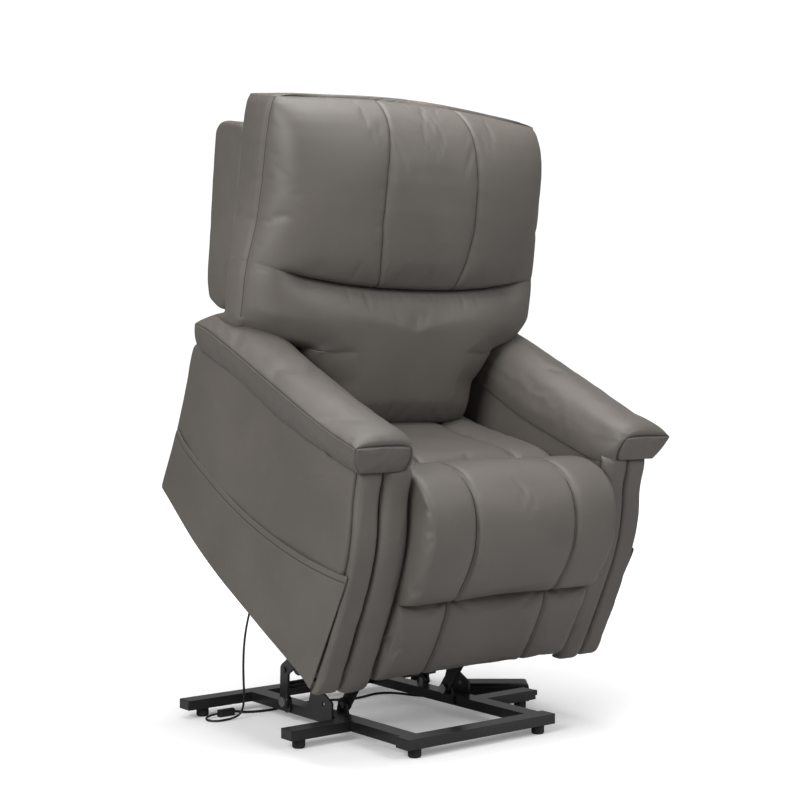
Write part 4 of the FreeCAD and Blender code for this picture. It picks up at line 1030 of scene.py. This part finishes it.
def make_pocket(side, sign, gap, floor):
    """A leather pouch over the side panel: a skin 3 mm thick with a rolled hem at its slanted mouth."""
    smooth = smooth_line(np.array(POCKET_STATIONS, float), 24, closed=False)
    rings, seams = [], []
    for a in np.linspace(8, 699.5, 110):
        low, mouth, share = [np.interp(a, smooth[:, 0], smooth[:, k]) for k in (1, 2, 3)]
        out = gap * np.clip(share, 0, 1)
        full = max(floor - 4, low + 4)
        heights = np.concatenate([[low, low + 2, low + 6], np.linspace(low + 14, mouth - 16, 26),
                                  [mouth - 12, mouth - 9, mouth - 5, mouth - 2]])
        skin_x = ARM_OUT + POCKET_T + out * smooth_share(heights, full - 26, full + 14)
        skin_x[-4:] += [0.2, 0.9, 1.2, 0.8]
        skin_x[0] -= 2
        hem = np.array([[ARM_OUT + out + 2.4, mouth - 0.3], [ARM_OUT + out + 1.2, mouth - 0.2],
                        [ARM_OUT + out + 0.1, mouth - 1.6]])
        floor_h = max(floor, low + 8) + 6
        inner_h = np.linspace(mouth - 6, floor_h, 20)
        inner_x = ARM_OUT + 0.5 + max(out - 0.4, 0) * smooth_share(inner_h, full - 26, full + 14)
        back_h = np.linspace(floor_h - 8, low, 8)
        ring = np.concatenate([np.stack([skin_x, heights], 1), hem, np.stack([inner_x, inner_h], 1),
                               np.stack([np.full(8, ARM_OUT + 0.4), back_h], 1)])
        near = np.concatenate([heights - (mouth - 14), np.full(len(ring) - len(heights), FAR)])
        rings.append(np.stack([ring[:, 0] * sign, np.full(len(ring), a), ring[:, 1]], 1))
        seams.append(np.clip(near, -FAR, FAR))
    pocket = skin("pocket_" + side, rings, seams, None, ((0, 0, 0), (0, 0, 0)), cap_steps=3)
    refine(pocket)
    upholster(pocket, "chair", ["side_pocket_" + side])


# %% [markdown]
# Each arm is then made from its side panel, its two bands, its cap and its pocket.

# %% Both arms
seam_rows = []
for arm_side, arm_sign, pocket_gap, pocket_floor in (("left", 1, 27, 84), ("right", -1, 8, 0)):
    make_arm_body(arm_side, arm_sign)
    make_band(arm_side, arm_sign, "arm_strip", ARM_OUT - STRIP_W, ARM_OUT, 0, 7)
    make_band(arm_side, arm_sign, "arm_front_roll", ARM_IN, ARM_IN + ROLL_W, 7, 3.2)
    seam_rows.append(make_cap(arm_side, arm_sign))
    make_pocket(arm_side, arm_sign, pocket_gap, pocket_floor)

# %% [markdown]
# The boxing is topstitched: short thread stitches beside the seam, each about five millimetres long. They
# repeat hundreds of times, so Geometry Nodes set one small capsule along a row of points of the cover.

# %% Topstitching
STITCH_PITCH, STITCH_LENGTH, THREAD_RADIUS = 0.0062, 0.0046, 0.00045


def stitch_tree(material):
    """A node group that sets one small stitch at every pitch along the edges of its input."""
    tree = bpy.data.node_groups.new("stitch row", "GeometryNodeTree")
    tree.interface.new_socket("Geometry", in_out="INPUT", socket_type="NodeSocketGeometry")
    for name, kind in (("Pitch", "NodeSocketFloat"), ("Length", "NodeSocketFloat"),
                       ("Thread", "NodeSocketFloat"), ("Seed", "NodeSocketInt")):
        tree.interface.new_socket(name, in_out="INPUT", socket_type=kind)
    tree.interface.new_socket("Geometry", in_out="OUTPUT", socket_type="NodeSocketGeometry")

    def add(kind, settings=None, **links):
        made = tree.nodes.new(kind)
        for key, value in (settings or {}).items():
            setattr(made, key, value)
        for key, value in links.items():
            socket = made.inputs[key.replace("_", " ")]
            if isinstance(value, bpy.types.NodeSocket):
                tree.links.new(value, socket)
            else:
                socket.default_value = value
        return made

    given = add("NodeGroupInput").outputs
    curve = add("GeometryNodeMeshToCurve", Mesh=given["Geometry"])
    even = add("GeometryNodeResampleCurve", {"mode": "LENGTH"}, Curve=curve.outputs[0], Length=given["Pitch"])
    turn = add("FunctionNodeAlignRotationToVector", {"axis": "Z"},
               Vector=add("GeometryNodeInputTangent").outputs[0])
    stitch = add("GeometryNodeMeshCylinder", Vertices=6, Radius=given["Thread"], Depth=given["Length"])
    vary = add("FunctionNodeRandomValue", {"data_type": "FLOAT"}, Seed=given["Seed"])
    vary.inputs[2].default_value, vary.inputs[3].default_value = 0.88, 1.08
    placed = add("GeometryNodeInstanceOnPoints", Points=even.outputs[0], Instance=stitch.outputs[0],
                 Rotation=turn.outputs[0], Scale=vary.outputs[1])
    real = add("GeometryNodeRealizeInstances", Geometry=placed.outputs[0])
    finished = add("GeometryNodeSetMaterial", Geometry=real.outputs[0], Material=material)
    end = add("NodeGroupOutput")
    tree.links.new(finished.outputs[0], end.inputs[0])
    return tree


def stitch_rows(name, rows, tree, body, seed):
    """One mesh of stitches along these rows of places."""
    verts, edges = [], []
    for row in rows:
        edges += [(len(verts) + i, len(verts) + i + 1) for i in range(len(row) - 1)]
        verts += [tuple(p) for p in row]
    mesh = bpy.data.meshes.new(name + " path")
    mesh.from_pydata(verts, edges, [])
    path_object = bpy.data.objects.new(name, mesh)
    bpy.context.collection.objects.link(path_object)
    modifier = path_object.modifiers.new("stitches", "NODES")
    modifier.node_group = tree
    named = {item.name: item.identifier for item in tree.interface.items_tree if item.in_out == "INPUT"}
    for key, value in (("Pitch", STITCH_PITCH), ("Length", STITCH_LENGTH), ("Thread", THREAD_RADIUS),
                       ("Seed", seed)):
        modifier[named[key]] = value
    graph = bpy.context.evaluated_depsgraph_get()
    stitched = bpy.data.meshes.new_from_object(path_object.evaluated_get(graph))
    path_object.modifiers.remove(modifier)
    path_object.data = stitched
    print(name, len(stitched.polygons), "faces")
    dress(path_object, thread, body)


thread = make_coated("grey thread", (0.070, 0.063, 0.056), (0.055, 0.050, 0.045), 0.6, 1500.0)
tree = stitch_tree(thread)
stitch_rows("cap_topstitching", seam_rows, tree, "chair", 4)

# %% [markdown]
# Behind the cushions a leather-covered shell closes the back, and a stretched panel closes the body
# below it. They are plain but not flat: the shell is crowned.

# %% Back shell and rear panel
SHELL_HALF, SHELL_ROUND, SHELL_DRAW, SHELL_COUNT = 350, 14, 12, 120
SHELL_FRONT = -68.3
shell_path = [(30, -68.3), (10, -84), (2, -102), (6, -120), (20, -156), (56, -168), (190, -180), (300, -187),
              (388, -191), (408, -175), (412, -150), (411, -89), (403, -68.3)]
shell_line = closed_evenly(fillet(shell_path, 9, 4), SHELL_COUNT)
rings = []
turn = SHELL_ROUND * (1 - np.cos(np.linspace(0, np.pi / 2, 7)))
flat = np.linspace(-SHELL_HALF + SHELL_ROUND, SHELL_HALF - SHELL_ROUND, 60)[1:-1]
for x in np.concatenate([-SHELL_HALF + turn, flat, SHELL_HALF - turn[::-1]]):
    k = max(0.0, 1 - (SHELL_HALF - abs(x)) / SHELL_ROUND)
    inset = SHELL_DRAW * (1 - math.sqrt(max(0.0, 1 - k * k)))
    ring = shrink_ring(shell_line, np.full(SHELL_COUNT, inset))
    ring[:, 1] = np.minimum(ring[:, 1], SHELL_FRONT)
    rear_face = np.clip((-ring[:, 1] - 150) / 30, 0, 1)
    crown = 5 * (1 - (x / SHELL_HALF) ** 2) * np.sin(np.pi * np.clip(ring[:, 0] / 400, 0, 1))
    ring[:, 1] -= rear_face * crown
    rings.append(np.stack([np.full(SHELL_COUNT, x), ring[:, 0], ring[:, 1]], 1))
shell = skin("back_shell_cover", rings, None, None, ((-2, 0, 0), (2, 0, 0)), from_back, 6)
waver(shell, 0.14, 0.002, 21)
refine(shell)
upholster(shell, "back", ["back_shell"])

panel_rows = []
for share in np.linspace(0, 1, 24):
    a, h = 691.5 + 35 * share, 40 + 285 * share
    row = []
    for x in np.linspace(-1, 1, 40):
        sag = 4.5 * math.sin(math.pi * share) * (1 - x * x)
        row.append((x * 261.5, a + 1.2 - sag, h))
    panel_rows.append(row)
front_rows = np.array(panel_rows)
rear_rows = front_rows + [0, -2.2, 0]
rings = [np.concatenate([f, b[::-1]]) for f, b in zip(front_rows, rear_rows)]
rear_panel = skin("rear_panel_cloth", rings, None, None, ((0, 0, 0), (0, 0, 0)), cap_steps=2)
dress(rear_panel, dust_cloth, "chair", ["rear_cover"])

# %% [markdown]
# Last comes the studio: a white sweep that the camera sees as pure white, and three large soft lights,
# high at the left, from the front and from above, for the soft shadows of a shop picture.

# %% Floor, backdrop and lights
FLOOR_HALF, FLOOR_DROP = 6.0, -0.0005
SKY_STRENGTH, WHITE_STRENGTH = 0.27, 1.05


def make_floor():
    """A light floor that turns to pure white for the camera away from the chair."""
    corners = [(x * FLOOR_HALF, y * FLOOR_HALF, FLOOR_DROP) for x, y in ((-1, -1), (1, -1), (1, 1), (-1, 1))]
    floor = new_mesh("studio_floor", corners, [(0, 1, 2, 3)], smooth=False)
    material, shader, place = start_material("studio floor")
    tone, seen = place.noise(0.6, 2.0), place.node("ShaderNodeLightPath")
    away = place.node("ShaderNodeVectorMath", {"operation": "LENGTH"}, {0: place}, out=1)
    connect(shader, Roughness=0.9, Emission_Strength=1.0,
            Base_Color=seen.blend((0.50, 0.50, 0.50), tone.blend((0.93, 0.93, 0.93), (0.95, 0.95, 0.95))),
            Emission_Color=(seen * (0.2 + away.ramp(0.9, 2.4) * 0.8)).blend((0, 0, 0), (1, 1, 1)))
    floor.data.materials.append(material)
    floor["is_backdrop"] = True


def make_backdrop():
    """A soft sky for the light, and pure white where the camera looks past the chair."""
    world = bpy.data.worlds.new("studio")
    bpy.context.scene.world = world
    world.use_nodes = True
    tree = world.node_tree
    soft, white = tree.nodes["Background"], tree.nodes.new("ShaderNodeBackground")
    for background, strength in ((soft, SKY_STRENGTH), (white, WHITE_STRENGTH)):
        background.inputs["Color"].default_value = (1, 1, 1, 1)
        background.inputs["Strength"].default_value = strength
    path, mix = tree.nodes.new("ShaderNodeLightPath"), tree.nodes.new("ShaderNodeMixShader")
    for source, target in ((path.outputs["Is Camera Ray"], mix.inputs[0]), (soft.outputs[0], mix.inputs[1]),
                           (white.outputs[0], mix.inputs[2]),
                           (mix.outputs[0], tree.nodes["World Output"].inputs["Surface"])):
        tree.links.new(source, target)


make_floor()
make_backdrop()


def add_light(name, place, aim, size, power):
    lamp = bpy.data.lights.new(name, "AREA")
    lamp.shape = "RECTANGLE"
    lamp.size, lamp.size_y = size
    lamp.energy = power
    lamp_object = bpy.data.objects.new(name, lamp)
    bpy.context.collection.objects.link(lamp_object)
    lamp_object.location = place
    direction = Vector(aim) - Vector(place)
    lamp_object.rotation_euler = direction.to_track_quat("-Z", "Y").to_euler()


add_light("key", (-3.2, -1.1, 2.2), (0, 0, 0.6), (1.8, 1.4), 98)
add_light("fill", (0.9, -3.0, 2.5), (0, 0, 0.5), (1.6, 1.6), 46)
add_light("top", (0, -0.3, 3.3), (0, 0, 0.5), (2.2, 2.2), 88)
bpy.context.scene.view_settings.view_transform = "Standard"

# %% [markdown]
# The imported box and the one with the soft pieces on are measured, and the growth between them printed.

# %% Sizes and finish
seen_low, seen_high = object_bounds()
grown = [round((b - a) * 1000, 1)
         for a, b in zip([*seen_low, *cad_high], [*cad_low, *seen_high])]
print("grown beyond the CAD box, mm:", grown)
